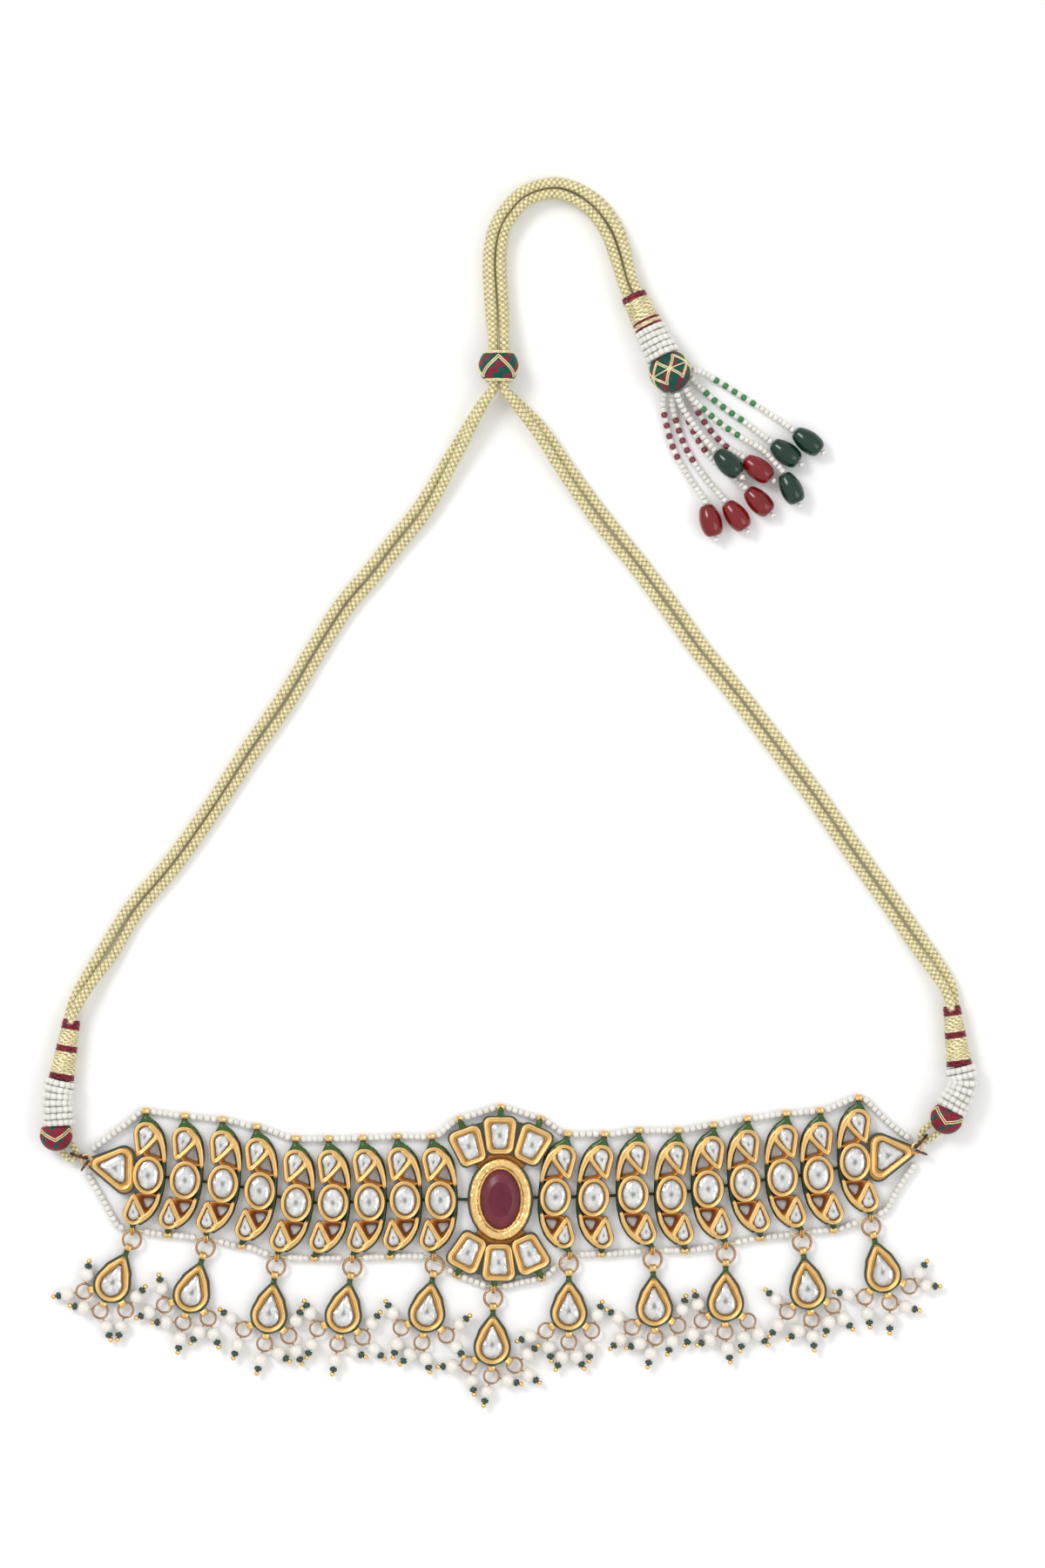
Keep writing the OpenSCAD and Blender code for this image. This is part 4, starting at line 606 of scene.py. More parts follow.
def finish(name, base=None, scale=800.0, amount=0.15, rough=0.3, spread=0.1, grain=6.0, bump=0.25,
           distance=0.0001, strands=None, **plain):
    """A material of one colour, or of the piece's own paint, with mottling, grain and, on cord and
    thread, fine strands. Plain values go straight onto the shader."""
    made, tree, shader = blank(name)
    tint = painted(tree) if base is None else (*base, 1.0)
    worked = mottled(tree, shader, tint, scale, amount, rough, spread, grain)
    height = worked.outputs["Height"]
    if strands:
        fine = node(tree, "ShaderNodeGroup", {"Along": strands[0], "Around": strands[1], "Depth": strands[2]},
                    node_tree=bpy.data.node_groups["Strands"])
        # The strands' painted light and shade scale the colour
        shade = node(tree, "ShaderNodeVectorMath",
                     {0: worked.outputs["Color"], "Scale": fine.outputs["Shade"]}, operation="SCALE")
        tree.links.new(shade.outputs[0], shader.inputs["Base Color"])
        height = calc(tree, "MULTIPLY_ADD", height, 0.5, fine.outputs["Height"])
    bumped(tree, shader, height, bump, distance)
    for key, value in plain.items():
        shader.inputs[key.replace("_", " ")].default_value = value
    return made


def setting_finish(c):
    """Plates are enamel up to their top face, and what stands higher is gold in the groove colour,
    the painted shade of the bands' grooves.
    """
    made, tree, shader = blank("enamelled setting")
    place = node(tree, "ShaderNodeSeparateXYZ", {0: node(tree, "ShaderNodeTexCoord").outputs["Object"]})
    high = node(tree, "ShaderNodeMapRange", {"Value": place.outputs["Z"], "From Min": 1.71 * MM,
                                             "From Max": 1.78 * MM}).outputs[0]
    base = node(tree, "ShaderNodeMix", {0: high, 6: (*c.enamel, 1.0), 7: (*c.groove, 1.0)}, data_type="RGBA")
    worked = mottled(tree, shader, base.outputs[2], 500.0, 0.35, 0.24, 0.12, 5.0)
    tree.links.new(high, shader.inputs["Metallic"])
    tree.links.new(calc(tree, "SUBTRACT", 1.0, high), shader.inputs["Coat Weight"])
    bumped(tree, shader, worked.outputs["Height"], 0.2, 0.0001)
    return made


def frame_finish():
    """The ruby's broad frame: rolled gold with the dents of a hand tool, from cells on Object coordinates."""
    made, tree, shader = blank("tooled gold")
    worked = mottled(tree, shader, painted(tree), 500.0, 0.22, 0.32, 0.14, 5.0)
    place = node(tree, "ShaderNodeTexCoord").outputs["Object"]
    dents = node(tree, "ShaderNodeTexVoronoi", {"Vector": place, "Scale": 1300.0, "Smoothness": 0.7},
                 feature="SMOOTH_F1")
    height = calc(tree, "MULTIPLY_ADD", worked.outputs["Height"], 0.35, dents.outputs["Distance"])
    shader.inputs["Metallic"].default_value = 1.0
    bumped(tree, shader, height, 0.6, 0.00025)
    return made


def stone_finish():
    """A foiled uncut diamond: cloudy silver foil under a clear polished face."""
    made, tree, shader = blank("foiled stone")
    worked = mottled(tree, shader, painted(tree), 900.0, 0.3, 0.16, 0.1, 3.0)
    bumped(tree, shader, worked.outputs["Height"], 0.3, 0.0002)
    for key, value in {"Metallic": 0.45, "Coat Weight": 0.7, "Coat Roughness": 0.05}.items():
        shader.inputs[key].default_value = value
    return made


def make_finishes(c):
    """All the finishes of the necklace, each made once."""
    mottle_group()
    strand_group()
    setting_finish(c)
    frame_finish()
    stone_finish()
    finish("rolled gold", scale=600.0, amount=0.14, rough=0.36, spread=0.12, Metallic=1.0)
    finish("glossy enamel", scale=500.0, amount=0.45, rough=0.16, spread=0.08, bump=0.15, Coat_Weight=0.3,
           Specular_IOR_Level=0.25)
    finish("foil lining", scale=700.0, amount=0.35, rough=0.3, bump=0.4, Metallic=0.2)
    finish("frosted ruby", scale=420.0, amount=0.55, rough=0.34, spread=0.1, grain=5.0, bump=0.35,
           Specular_IOR_Level=0.35, Coat_Weight=0.06, Coat_Roughness=0.05)
    finish("rose gold wire", c.rose, scale=900.0, amount=0.2, rough=0.26, Metallic=1.0)
    finish("painted wire", None, scale=900.0, amount=0.2, rough=0.24, Metallic=1.0)
    finish("bronze wire", c.bronze, scale=900.0, amount=0.35, rough=0.35, Metallic=0.9)
    finish("pearl skin", c.pearl, scale=500.0, amount=0.10, rough=0.22, spread=0.06, bump=0.2, Coat_Weight=0.6,
           Coat_Roughness=0.12, Subsurface_Weight=0.15, Subsurface_Scale=0.001)
    finish("glass bead", scale=1500.0, amount=0.10, rough=0.20, spread=0.08, bump=0.15, Coat_Weight=0.5)
    finish("metal braid", scale=1800.0, amount=0.35, rough=0.38, strands=(1.9, 14.0, 0.30), bump=0.6,
           distance=0.0001, Metallic=0.45, Sheen_Weight=0.1)
    finish("silk thread", scale=1200.0, amount=0.18, rough=0.42, strands=(0.0, 66.0, 0.20), bump=0.5,
           distance=0.00006, Specular_IOR_Level=0.2)
    finish("metal thread", scale=1500.0, amount=0.3, rough=0.34, strands=(1.1, 9.0, 0.30), bump=0.6,
           distance=0.0001, Metallic=0.5)
    finish("tie thread", c.enamel, scale=1500.0, amount=0.3, rough=0.6, strands=(2.0, 3.0, 0.2))
    finish("coloured glass", scale=260.0, amount=0.45, rough=0.16, spread=0.04, bump=0.1, Coat_Weight=0.1,
           Transmission_Weight=0.35, IOR=1.5)
    finish("pale floor", (0.93, 0.93, 0.93), scale=3.0, amount=0.01, rough=0.85, spread=0.05, grain=80.0,
           bump=0.05)


def surface_of(name):
    """A finish by its name."""
    return bpy.data.materials[name]


def face_with(nodes, name):
    """Gives CAD nodes a finish through their own material slots."""
    for key in nodes:
        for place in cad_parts[key].material_slots:
            place.material = surface_of(name)


# ---- Profiles ----
def rolled(top, half):
    """Profile of a rolled gold band: wall, outer roll, groove, inner roll and the slope to the stone."""
    low, step = 1.62, np.array([
        [1.0, 0.0], [1.0, 0.62], [0.88, 0.88], [0.62, 1.0], [0.30, 0.99], [0.08, 0.90], [-0.06, 0.90],
        [-0.28, 0.96], [-0.50, 0.91], [-0.74, 0.66], [-0.96, 0.42], [-1.0, 0.0]])
    return np.column_stack([step[:, 0] * half, low + step[:, 1] * (top - low)])


def rolled_gold_painted_shade(c):
    """Gold on the rolls of that profile, and painted shade in the amber groove colour down in its
    groove, on its walls and on its inner slope.
    """
    share = np.array([0.5, 0.2, 0.0, 0.0, 0.0, 0.6, 0.6, 0.0, 0.0, 0.15, 0.4, 0.7])
    return blend_colours(c.gold, c.groove, share)


def link_seats(side, k):
    """Middle outlines of the three bands of one link."""
    middle = in_link(side, k, [[0, 0, 0]])[0, :2]
    n = bpy.context.scene.necklace_sizes.path_steps
    return [round_outline(in_link(side, k, UPPER_BAND), n), round_outline(in_link(side, k, LOWER_BAND), n),
            oval_outline(6.05, 7.75, middle, -side * link_row(side, k)[2], n)]


def hood(rows, low, high, shades, n=28):
    """A domed patch of enamel over a flat place: z rises from its rim to its middle as a flat arch."""
    path, _ = round_outline(rows, n)
    levels = [[0, low], [1, low], [1, low + 0.25 * (high - low)], [0.93, low + 0.6 * (high - low)],
              [0.75, low + 0.88 * (high - low)], [0.4, high], [0, high]]
    return dome(path, path.mean(axis=0), levels, shades)


def funnel(outer, inner, shades, n=40):
    """The wall of a pierced opening: outlines between its upper rim and its hole, and the underside."""
    wide, _ = round_outline(outer, n)
    small, _ = round_outline(inner, n)
    levels = np.array([[0, 2.45], [0.25, 2.2], [0.6, 1.6], [0.9, 1], [1, 0.6], [1, 0.08], [0, 0.08]])
    flat = wide[:, None] * (1 - levels[None, :, :1]) + small[:, None] * levels[None, :, :1]
    z = np.broadcast_to(levels[None, :, 1:], flat.shape[:2] + (1,))
    return grid(np.concatenate([flat, z], axis=2), shades[None])


def collar(at, aim, inner, outer, length, shades):
    """A gold tube with rolled ends, slipped over a lug: a closed profile turned round the lug."""
    h = length / 2
    profile = [[-h, inner], [-h, outer], [-0.86 * h, outer + 0.05], [-0.62 * h, outer - 0.03],
               [0.62 * h, outer - 0.03], [0.86 * h, outer + 0.05], [h, outer], [h, inner]]
    return lathe(at, aim, profile, 20, shades, wrap=True)


def level_aim(degrees):
    """A level unit vector."""
    return np.array([math.cos(math.radians(degrees)), math.sin(math.radians(degrees)), 0.0])


def lug_collar(place, way, lug, shades):
    """The collar of a plain lug or of one with a jump ring."""
    height, inner, outer, length = lug
    return collar([*place, height], level_aim(way), inner, outer, length, shades)


# ---- Drops ----
def drop_places(d):
    """Bail, head and the swing of one drop, as in the part's source: the jump ring hangs from the lug
    and the bail sits one ring radius along the drop's own direction."""
    if d[0] == 0:
        lug_at, up = np.array(CENTRE_RING[:2]), np.array([0.0, 1.0])
    else:
        side, k = int(d[0]), int(d[1])
        lug_at = foot_lug(side, k)
        two = in_link(side, k, [[0, 1, 0], [0, 0, 0]])
        up = two[0, :2] - two[1, :2]
    down = np.array([math.sin(math.radians(d[2])), -math.cos(math.radians(d[2]))])
    bail = lug_at - JUMP_REACH * up + JUMP_REACH * down
    return bail, bail + HEAD_DOWN * down


def in_drop(d, rows):
    """Circle rows of a drop, given from its bail, turned by its swing and moved to its place."""
    rows = np.asarray(rows, float)
    return np.column_stack([turned(rows[:, :2], d[2]) + drop_places(d)[0], rows[:, 2]])


def all_pins():
    """Foot and unit direction of every pin, and the middle of every ring that carries two of them."""
    feet, aims, rings = [], [], []
    for i, d in enumerate(DROPS):
        _, head = drop_places(d)
        for j in range(3):
            middle = head + LOOP_REACH * level_aim(d[2] - 90 + (j - 1) * HEAD_TURN)[:2]
            rings.append([*middle, RING_Z])
            for m in range(2):
                way = level_aim(d[3 + 2 * j + m])
                lift = LIFTED_PEARL[2] if (i, 2 * j + m) == LIFTED_PEARL[:2] else 0.0
                feet.append([*(middle + LOOP_R * way[:2]), RING_Z])
                aims.append(unit([*(PEARL_OUT * way[:2]), 0.1 + lift]))
    return np.array(feet), np.array(aims), np.array(rings)


# ---- Strings ----
def strung(path, pitch, start=0.0):
    """Places and directions of beads at an even pitch along a path."""
    line, s = smooth_path(path, 0.1)
    n = max(1, int(round((s[-1] - start) / pitch)))
    far = start + (np.arange(n) + 0.5) * (s[-1] - start) / n
    at = np.stack([np.interp(far, s, column) for column in line.T], axis=1)
    aim = unit(np.gradient(line, axis=0))
    return at, unit(np.stack([np.interp(far, s, column) for column in aim.T], axis=1))


def beside_lug(place, way):
    """Where the beads stop on both sides of a plain lug: half its length and half a millimetre."""
    return place - 1.2 * way, place + 1.2 * way


def beside_ring(place, back, ahead, down):
    """Where the beads stop beside a lug with a jump ring: where they clear the ring."""
    reach = JUMP_REACH + 0.3 + 0.85

    def clear(way):
        c = float(way @ down)
        return JUMP_REACH * c + math.sqrt(reach ** 2 - JUMP_REACH ** 2 * (1 - c * c))
    return place + clear(back) * back, place + clear(ahead) * ahead


def heading(side, k):
    """Direction of a link's lugs, from left to right."""
    two = in_link(side, k, [[1, 0, 0], [0, 0, 0]])[:, :2]
    return -side * (two[0] - two[1])


def top_runs():
    """Runs of the upper border string between its lugs."""
    stops = [(in_link(-1, k, [TOP_LUG])[0, :2], heading(-1, k)) for k in range(LINKS, 0, -1)]
    stops += [(np.array(p[:2]), level_aim(p[2])[:2]) for p in CENTRE_TOP]
    stops += [(in_link(1, k, [TOP_LUG])[0, :2], heading(1, k)) for k in range(1, LINKS + 1)]
    return runs_between(TOP_START, [beside_lug(*s) for s in stops], TOP_END)


def foot_runs():
    """Runs of the lower border string between its lugs and round the jump rings."""
    def down(side, k):
        two = in_link(side, k, [[0, 0, 0], [0, 1, 0]])[:, :2]
        return two[0] - two[1]

    stops = [(foot_lug(-1, k), heading(-1, k), down(-1, k) if k % 2 else None) for k in range(LINKS, 0, -1)]
    stops += [(np.array(CENTRE_FOOT[0][:2]), level_aim(-20)[:2], None),
              (np.array(CENTRE_RING[:2]), np.array([1.0, 0.0]), np.array([0.0, -1.0])),
              (np.array(CENTRE_FOOT[1][:2]), level_aim(15)[:2], None)]
    stops += [(foot_lug(1, k), heading(1, k), down(1, k) if k % 2 else None) for k in range(1, LINKS + 1)]
    places = [np.array(FOOT_START[-1])] + [s[0] for s in stops] + [np.array(FOOT_END[0])]
    pairs = [beside_lug(p, way) if hang is None else
             beside_ring(p, unit(places[i] - p), unit(places[i + 2] - p), hang)
             for i, (p, way, hang) in enumerate(stops)]
    return runs_between(FOOT_START, pairs, FOOT_END)


def runs_between(start, pairs, end):
    """Runs from each stop's far side to the next stop's near side, with the string's two ends."""
    runs = [np.vstack([start, pairs[0][0]])]
    runs += [np.vstack([a[1], b[0]]) for a, b in zip(pairs[:-1], pairs[1:])]
    return runs + [np.vstack([pairs[-1][1], end])]


def border(name, runs, c, sizes):
    """Seed beads along the runs of a border string, and the thread that carries them."""
    level = [np.column_stack([run, np.full(len(run), 0.95)]) for run in runs]
    found = [strung(run, sizes.bead_pitch) for run in level]
    at, aims = (np.vstack([f[i] for f in found]) for i in (0, 1))
    tint = np.random.default_rng(3).uniform(0.90, 1.04, (len(at), 1)) * np.array(c.seed)
    thread = straight_tube(np.vstack(level), 0.2, 6, c.cord)
    piece(name, joined([beads(at, aims, 1.10 * sizes.bead_pitch / 1.37, sizes.bead_radius, tint), thread]),
          "glass bead", [name])


def straight_tube(points, radius, around, shades):
    """A thin closed tube straight from point to point."""
    points = np.asarray(points, float)
    ends = np.vstack([points[:1], points, points[-1:]])
    aim = unit(np.diff(points, axis=0))
    ends[0] -= 0.01 * aim[0]
    ends[-1] += 0.01 * aim[-1]
    return closed_tube(ends, radius, around, shades)


# ---- Braid, thread and balls ----
def braided(route, radius, sizes, c, step, around=24, across=4):
    """A braided cord: radius + relief * |sin(pi (n v + u / pitch)) sin(pi (n v - u / pitch))| ** 0.6,
    with u the length and v the share of a turn. The hollows are darker: painted shade."""
    line, s = smooth_path(route, step)
    v = np.arange(around)[None, :] / around
    u = s[:, None] / sizes.braid_pitch
    lift = np.abs(np.sin(np.pi * (across * v + u)) * np.sin(np.pi * (across * v - u))) ** 0.6
    # Painted shade: the hollows of the braid blend to the cord shade colour
    shades = blend_colours(c.cord, c.cord_shade, np.clip(1.1 - 1.4 * lift, 0, 1))
    return line, s, closed_tube(line, radius + sizes.braid_relief * (lift - 0.7), around, shades, s)


def wrapped(at, aim, length, r0, r1, bands, sizes, slant=0.0, around=44):
    """Thread wound round a cone: the radius ripples as |sin| once a thread, the threads drift with
    0.9 sin 2 pi (2 a + u / 5), and the bands are (share of the length, colour)."""
    aim = unit(aim)
    n = int(length / sizes.thread_pitch * 6)
    share = np.linspace(0, 1, n)
    a = np.arange(around)[None, :] / around
    drift = 0.9 * np.sin(2 * np.pi * (2 * a + share[:, None] * length / 5.0))
    wave = np.abs(np.sin(np.pi * (share[:, None] * length / sizes.thread_pitch + slant * a + drift)))
    tops = np.array([b[0] for b in bands])
    pick = np.searchsorted(tops, share).clip(0, len(bands) - 1)
    shades = np.array([b[1] for b in bands])[pick]
    # Painted shade: each thread darkens to 0.30 of its colour in the troughs between threads
    shades = shades[:, None] * (0.30 + 0.70 * wave[..., None] ** 0.8)
    radius = r0 + (r1 - r0) * share
    profile = np.column_stack([share * length, radius])
    ripple = 0.22 * (wave - 0.75)
    first = np.array([[0.0, 1e-4], [0.0, r0 * 0.6]])
    last = np.array([[length, r1 * 0.6], [length, 1e-4]])
    zeros = np.zeros((2, around))
    # Painted shade: the flat end faces are 0.6 as light as their bands
    dark = [np.broadcast_to(np.asarray(bands[i][1]) * 0.6, (2, around, 3)) for i in (0, -1)]
    return lathe(at, aim, np.vstack([first, profile, last]), around,
                 np.concatenate([dark[0], shades, dark[1]]), ripple=np.concatenate([zeros, ripple, zeros]))


def zigzag(turns, periods, reach, phase):
    """Height of a zigzag round a ball: a triangle wave of the turn."""
    t = (turns * periods + phase) % 1.0
    return reach * (4 * np.abs(t - 0.5) - 1)


def thread_ball(at, aim, radius, low, high, c, periods, phase, green, bore=0.0, around=96, rows=40):
    """A ball of wound silk: fine threads run from pole to pole. Maroon turns to teal where
    2 sin 2 pi (z / 4.6 + 5 v) + sin 2 pi (z / 1.9 - 6 v) + green > 0, with one green above a zigzag
    and one below it. low and high bound the ball along its axis; a bore leaves a hole with its wall."""
    t = np.linspace(math.asin(low / radius), math.asin(high / radius), rows)
    profile = radius * np.column_stack([np.sin(t), np.cos(t)])
    turns = np.arange(around) / around
    fade = np.cos(t)[:, None] ** 2
    ripple = 0.07 * (np.abs(np.sin(np.pi * turns * around / 4))[None, :] - 0.6) * fade
    above = profile[:, :1] > zigzag(turns[None, :], periods, 0.62 * radius, phase)
    broad = np.sin(2 * np.pi * (profile[:, :1] / 4.6 + 5 * turns[None, :]))
    small = np.sin(2 * np.pi * (profile[:, :1] / 1.9 - 6 * turns[None, :]))
    weave = 2.0 * broad + small + np.where(above, green[0], green[1])
    shades = blend_colours(c.maroon, c.teal, np.clip(3 * weave, 0, 1))
    hole = bore or 1e-4
    profile = np.vstack([[low, hole], profile, [high, hole]])
    shades = np.concatenate([shades[:1], shades, shades[-1:]])
    ripple = np.vstack([ripple[:1] * 0, ripple, ripple[:1] * 0])
    return lathe(at, aim, profile, around, shades, wrap=bore > 0, ripple=ripple)


def ball_lines(at, aim, radius, c, periods, reach, phases, gap=0.0, wire=0.15, equator=False):
    """Pairs of gold threads laid on a ball along zigzags: points of the ball at that height and turn."""
    aim = unit(aim)
    side, up = axes(aim)
    turns = np.linspace(0, 1, 160, endpoint=False)
    lines = []
    heights = [zigzag(turns, periods, reach, p) + g for p in phases for g in (-gap, gap)]
    if equator:
        heights += [np.full(len(turns), 0.0)]
    for high in heights:
        across = np.sqrt(np.maximum(radius ** 2 - high ** 2, 0.0))
        ring = np.cos(2 * np.pi * turns)[:, None] * side + np.sin(2 * np.pi * turns)[:, None] * up
        middle = np.asarray(at) + high[:, None] * aim + across[:, None] * ring
        out = unit(middle - np.asarray(at))
        t = unit(np.roll(middle, -1, axis=0) - np.roll(middle, 1, axis=0))
        b = np.linspace(0, 2 * np.pi, 6, endpoint=False)
        level = np.cross(t, out)
        points = middle[:, None] + wire * (np.cos(b)[None, :, None] * level[:, None]
                                           - np.sin(b)[None, :, None] * out[:, None])
        lines.append(grid(points, c.zari))
    return joined(lines)


def sleeve(at, aims, radii, per_ring, bead, c, seed):
    """Rings of seed beads side by side round a core: bead i of a ring sits at turn (i + offset) / n."""
    rng = np.random.default_rng(seed)
    places, ways = [], []
    for row, (p, aim, r) in enumerate(zip(at, aims, radii)):
        side, up = axes(aim)
        a = 2 * np.pi * (np.arange(per_ring) + 0.12 * (row % 2)) / per_ring
        places.append(p + (r - bead) * (np.cos(a)[:, None] * side + np.sin(a)[:, None] * up)
                      + rng.normal(0, 0.03, (per_ring, 3)))
        ways.append(unit(np.broadcast_to(aim, (per_ring, 3)) + rng.normal(0, 0.06, (per_ring, 3))))
    places, ways = np.vstack(places), np.vstack(ways)
    tint = rng.uniform(0.92, 1.05, (len(places), 1)) * np.array(c.seed)
    return beads(places, ways, 1.12, bead, tint)


# ---- Operators ----
class NecklaceOperator:
    """What every step of the necklace shares."""
    bl_options = {"REGISTER", "UNDO"}

    @staticmethod
    def looks():
        return bpy.context.scene.necklace_colours, bpy.context.scene.necklace_sizes


class NECKLACE_OT_stage(NecklaceOperator, bpy.types.Operator):
    """Floor, studio light and the camera, and all the finishes"""
    bl_idname = "necklace.stage"
    bl_label = "Stage and finishes"

    def execute(self, context):
        c, sizes = self.looks()
        make_finishes(c)
        h = sizes.floor_size / 2
        floor = bpy.data.meshes.new("floor")
        corners = [(x * h, y * h, -0.0002) for x, y in ((-1, -1), (1, -1), (1, 1), (-1, 1))]
        floor.from_pydata(corners, [], [(0, 1, 2, 3)])
        floor.materials.append(surface_of("pale floor"))
        ground = bpy.data.objects.new("floor", floor)
        context.scene.collection.objects.link(ground)

        world = bpy.data.worlds.new("soft studio")
        context.scene.world = world
        world.use_nodes = True
        tree = world.node_tree
        way = node(tree, "ShaderNodeSeparateXYZ", {0: node(tree, "ShaderNodeTexCoord").outputs["Generated"]})
        glow = node(tree, "ShaderNodeMapRange", {"Value": way.outputs["Z"], "From Min": -0.1, "From Max": 0.9,
                                                 "To Min": 0.66, "To Max": 0.90})
        tree.links.new(glow.outputs[0], tree.nodes["Background"].inputs["Strength"])
        tree.nodes["Background"].inputs["Color"].default_value = (1.0, 1.0, 1.0, 1.0)

        for name, at, power, width in (("key light", (-0.9, 0.9, 1.4), 11.0, 0.6),
                                       ("fill light", (1.0, -0.2, 1.2), 4.0, 0.9)):
            lamp = bpy.data.lights.new(name, "AREA")
            lamp.energy, lamp.size = power, width
            lit = bpy.data.objects.new(name, lamp)
            lit.location = at
            lit.rotation_euler = (Vector((0.0, 0.08, 0.0)) - Vector(at)).to_track_quat("-Z", "Y").to_euler()
            context.scene.collection.objects.link(lit)

        context.scene.view_settings.view_transform = "Standard"
        lens = bpy.data.cameras.new("camera")
        lens.sensor_fit, lens.sensor_width, lens.lens = "AUTO", 36.0, 36.0 * 1500.0 / 352.8
        camera = bpy.data.objects.new("camera", lens)
        camera.location = (0.00498, 0.09345, 1.5025)
        context.scene.collection.objects.link(camera)
        context.scene.camera = camera
        return {"FINISHED"}


class NECKLACE_OT_draw_cord(NecklaceOperator, bpy.types.Operator):
    """Four braided strands from the end wraps through the slider to the tassel"""
    bl_idname = "necklace.draw_cord"
    bl_label = "Draw cord"

    def execute(self, context):
        c, sizes = self.looks()
        for name, route in STRANDS.items():
            # Each strand starts two millimetres down in its end wrap and goes as far into the tassel's
            middle = WRAP_MOUTH[name.split("_")[1]]
            start = [*middle, 2.4 if name.endswith("a") else 3.6]
            route = np.vstack([start, route, np.array(route[-1]) + 2 * TASSEL_AIM])
            _, s, surface = braided(route, 1.10, sizes, c, 0.2)
            made = piece(name + "_braid", surface, "metal braid", [name])
        return {"FINISHED"}


class NECKLACE_OT_metal(NecklaceOperator, bpy.types.Operator):
    """Finishes on the plates, rings and tie threads that the frame gives"""
    bl_idname = "necklace.metal"
    bl_label = "Plates and wire"

    def execute(self, context):
        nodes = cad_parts
        face_with([key for key in nodes if key.startswith(("link_", "drop_"))] + ["centre_medallion"],
                  "enamelled setting")
        face_with(["jump_rings"], "rose gold wire")
        face_with(["end_rings"], "bronze wire")
        face_with(["tie_threads"], "tie thread")
        return {"FINISHED"}


class NECKLACE_OT_links(NecklaceOperator, bpy.types.Operator):
    """Rolled gold bands, arms, enamel ridges, pierced linings and lugs of the eighteen links"""
    bl_idname = "necklace.links"
    bl_label = "Links"

    def execute(self, context):
        c, sizes = self.looks()
        # Painted shade: bands and arms turn to the groove colour in their grooves and on their walls
        profile, shades = rolled(sizes.band_top, 0.50), rolled_gold_painted_shade(c)
        arm = np.array([[1, 1.6], [1, 2.4], [0.8, 2.78], [0.45, 2.9], [0.05, 2.74], [-0.2, 2.8], [-0.6, 2.78],
                        [-0.92, 2.45], [-1, 1.6]])
        arm_shades = blend_colours(c.gold, c.groove, [0.6, 0.2, 0.0, 0.0, 0.45, 0.15, 0.0, 0.25, 0.7])
        ridge = np.array([[1, 1.25], [1, 1.72], [0.82, 1.95], [0.4, 2.12], [0, 2.16], [-0.4, 2.12],
                          [-0.82, 1.95], [-1, 1.72], [-1, 1.25]])
        # Painted shade: the walls of an opening turn from amber at the rim to the darker colour down at the
        # hole and underneath
        upper_wall = blend_colours(c.amber, c.opening_shade, [0.0, 0.05, 0.25, 0.6, 0.8, 1.0, 1.0])
        lower_wall = blend_colours(c.amber, c.opening_shade, [0.2, 0.45, 0.8, 0.9, 1.0, 1.0, 1.0])
        gold, green, lining = [], [], []
        for side, k in EACH_LINK:
            row = link_row(side, k)
            for path, normals in link_seats(side, k):
                gold.append(band(path, normals, profile, shades))
            for rows in (UPPER_ARM, UPPER_BAR, LOWER_ARM, LOWER_BAR):
                line = in_link(side, k, grown(rows, 0.05))
                gold.append(bar(line[::-side], arm, arm_shades))
            green.append(bar(in_link(side, k, grown(BACK_RIDGE, 0.03)), ridge, np.array(c.enamel)))
            green.append(hood(in_link(side, k, grown(TOP_PEAK, -0.08)), 1.6, 2.35, PEAK_GREEN))
            foot = [[-2.95, -10.6, 0.95], [row[3], -12.0, 0.45]]
            green.append(hood(in_link(side, k, foot), 1.6, 2.2, PEAK_GREEN * 0.6))
            for gap, hole, wall in ((UPPER_GAP, UPPER_HOLE, upper_wall), (LOWER_GAP, LOWER_HOLE, lower_wall)):
                lining.append(funnel(in_link(side, k, grown(gap, 0.45)), in_link(side, k, hole), wall))
            way = -side * row[2]
            lugs = in_link(side, k, [TOP_LUG, [row[3], FOOT_UP, 0]])[:, :2]
            for place, lug in zip(lugs, (PLAIN_LUG, RING_LUG if k % 2 else PLAIN_LUG)):
                gold.append(lug_collar(place, way, lug, c.gold))
            if k == LINKS:
                path, normals = round_outline(in_link(side, k, TRIANGLE_BAND), sizes.path_steps)
                gold.append(band(path, normals, rolled(sizes.band_top, 0.62), shades))
                eye = in_link(side, k, [EYE])[0, :2]
                gold.append(lathe([*eye, 2.25], [0, 0, 1.0], [[-0.44, 0.98], [-0.44, 1.33], [-0.2, 1.42],
                                                             [0.2, 1.42], [0.44, 1.33], [0.44, 0.98]], 28,
                                  np.array(c.gold), wrap=True))
        piece("link_bands", joined(gold), "rolled gold")
        piece("link_enamel", joined(green), "glossy enamel")
        piece("link_linings", joined(lining), "foil lining")
        return {"FINISHED"}


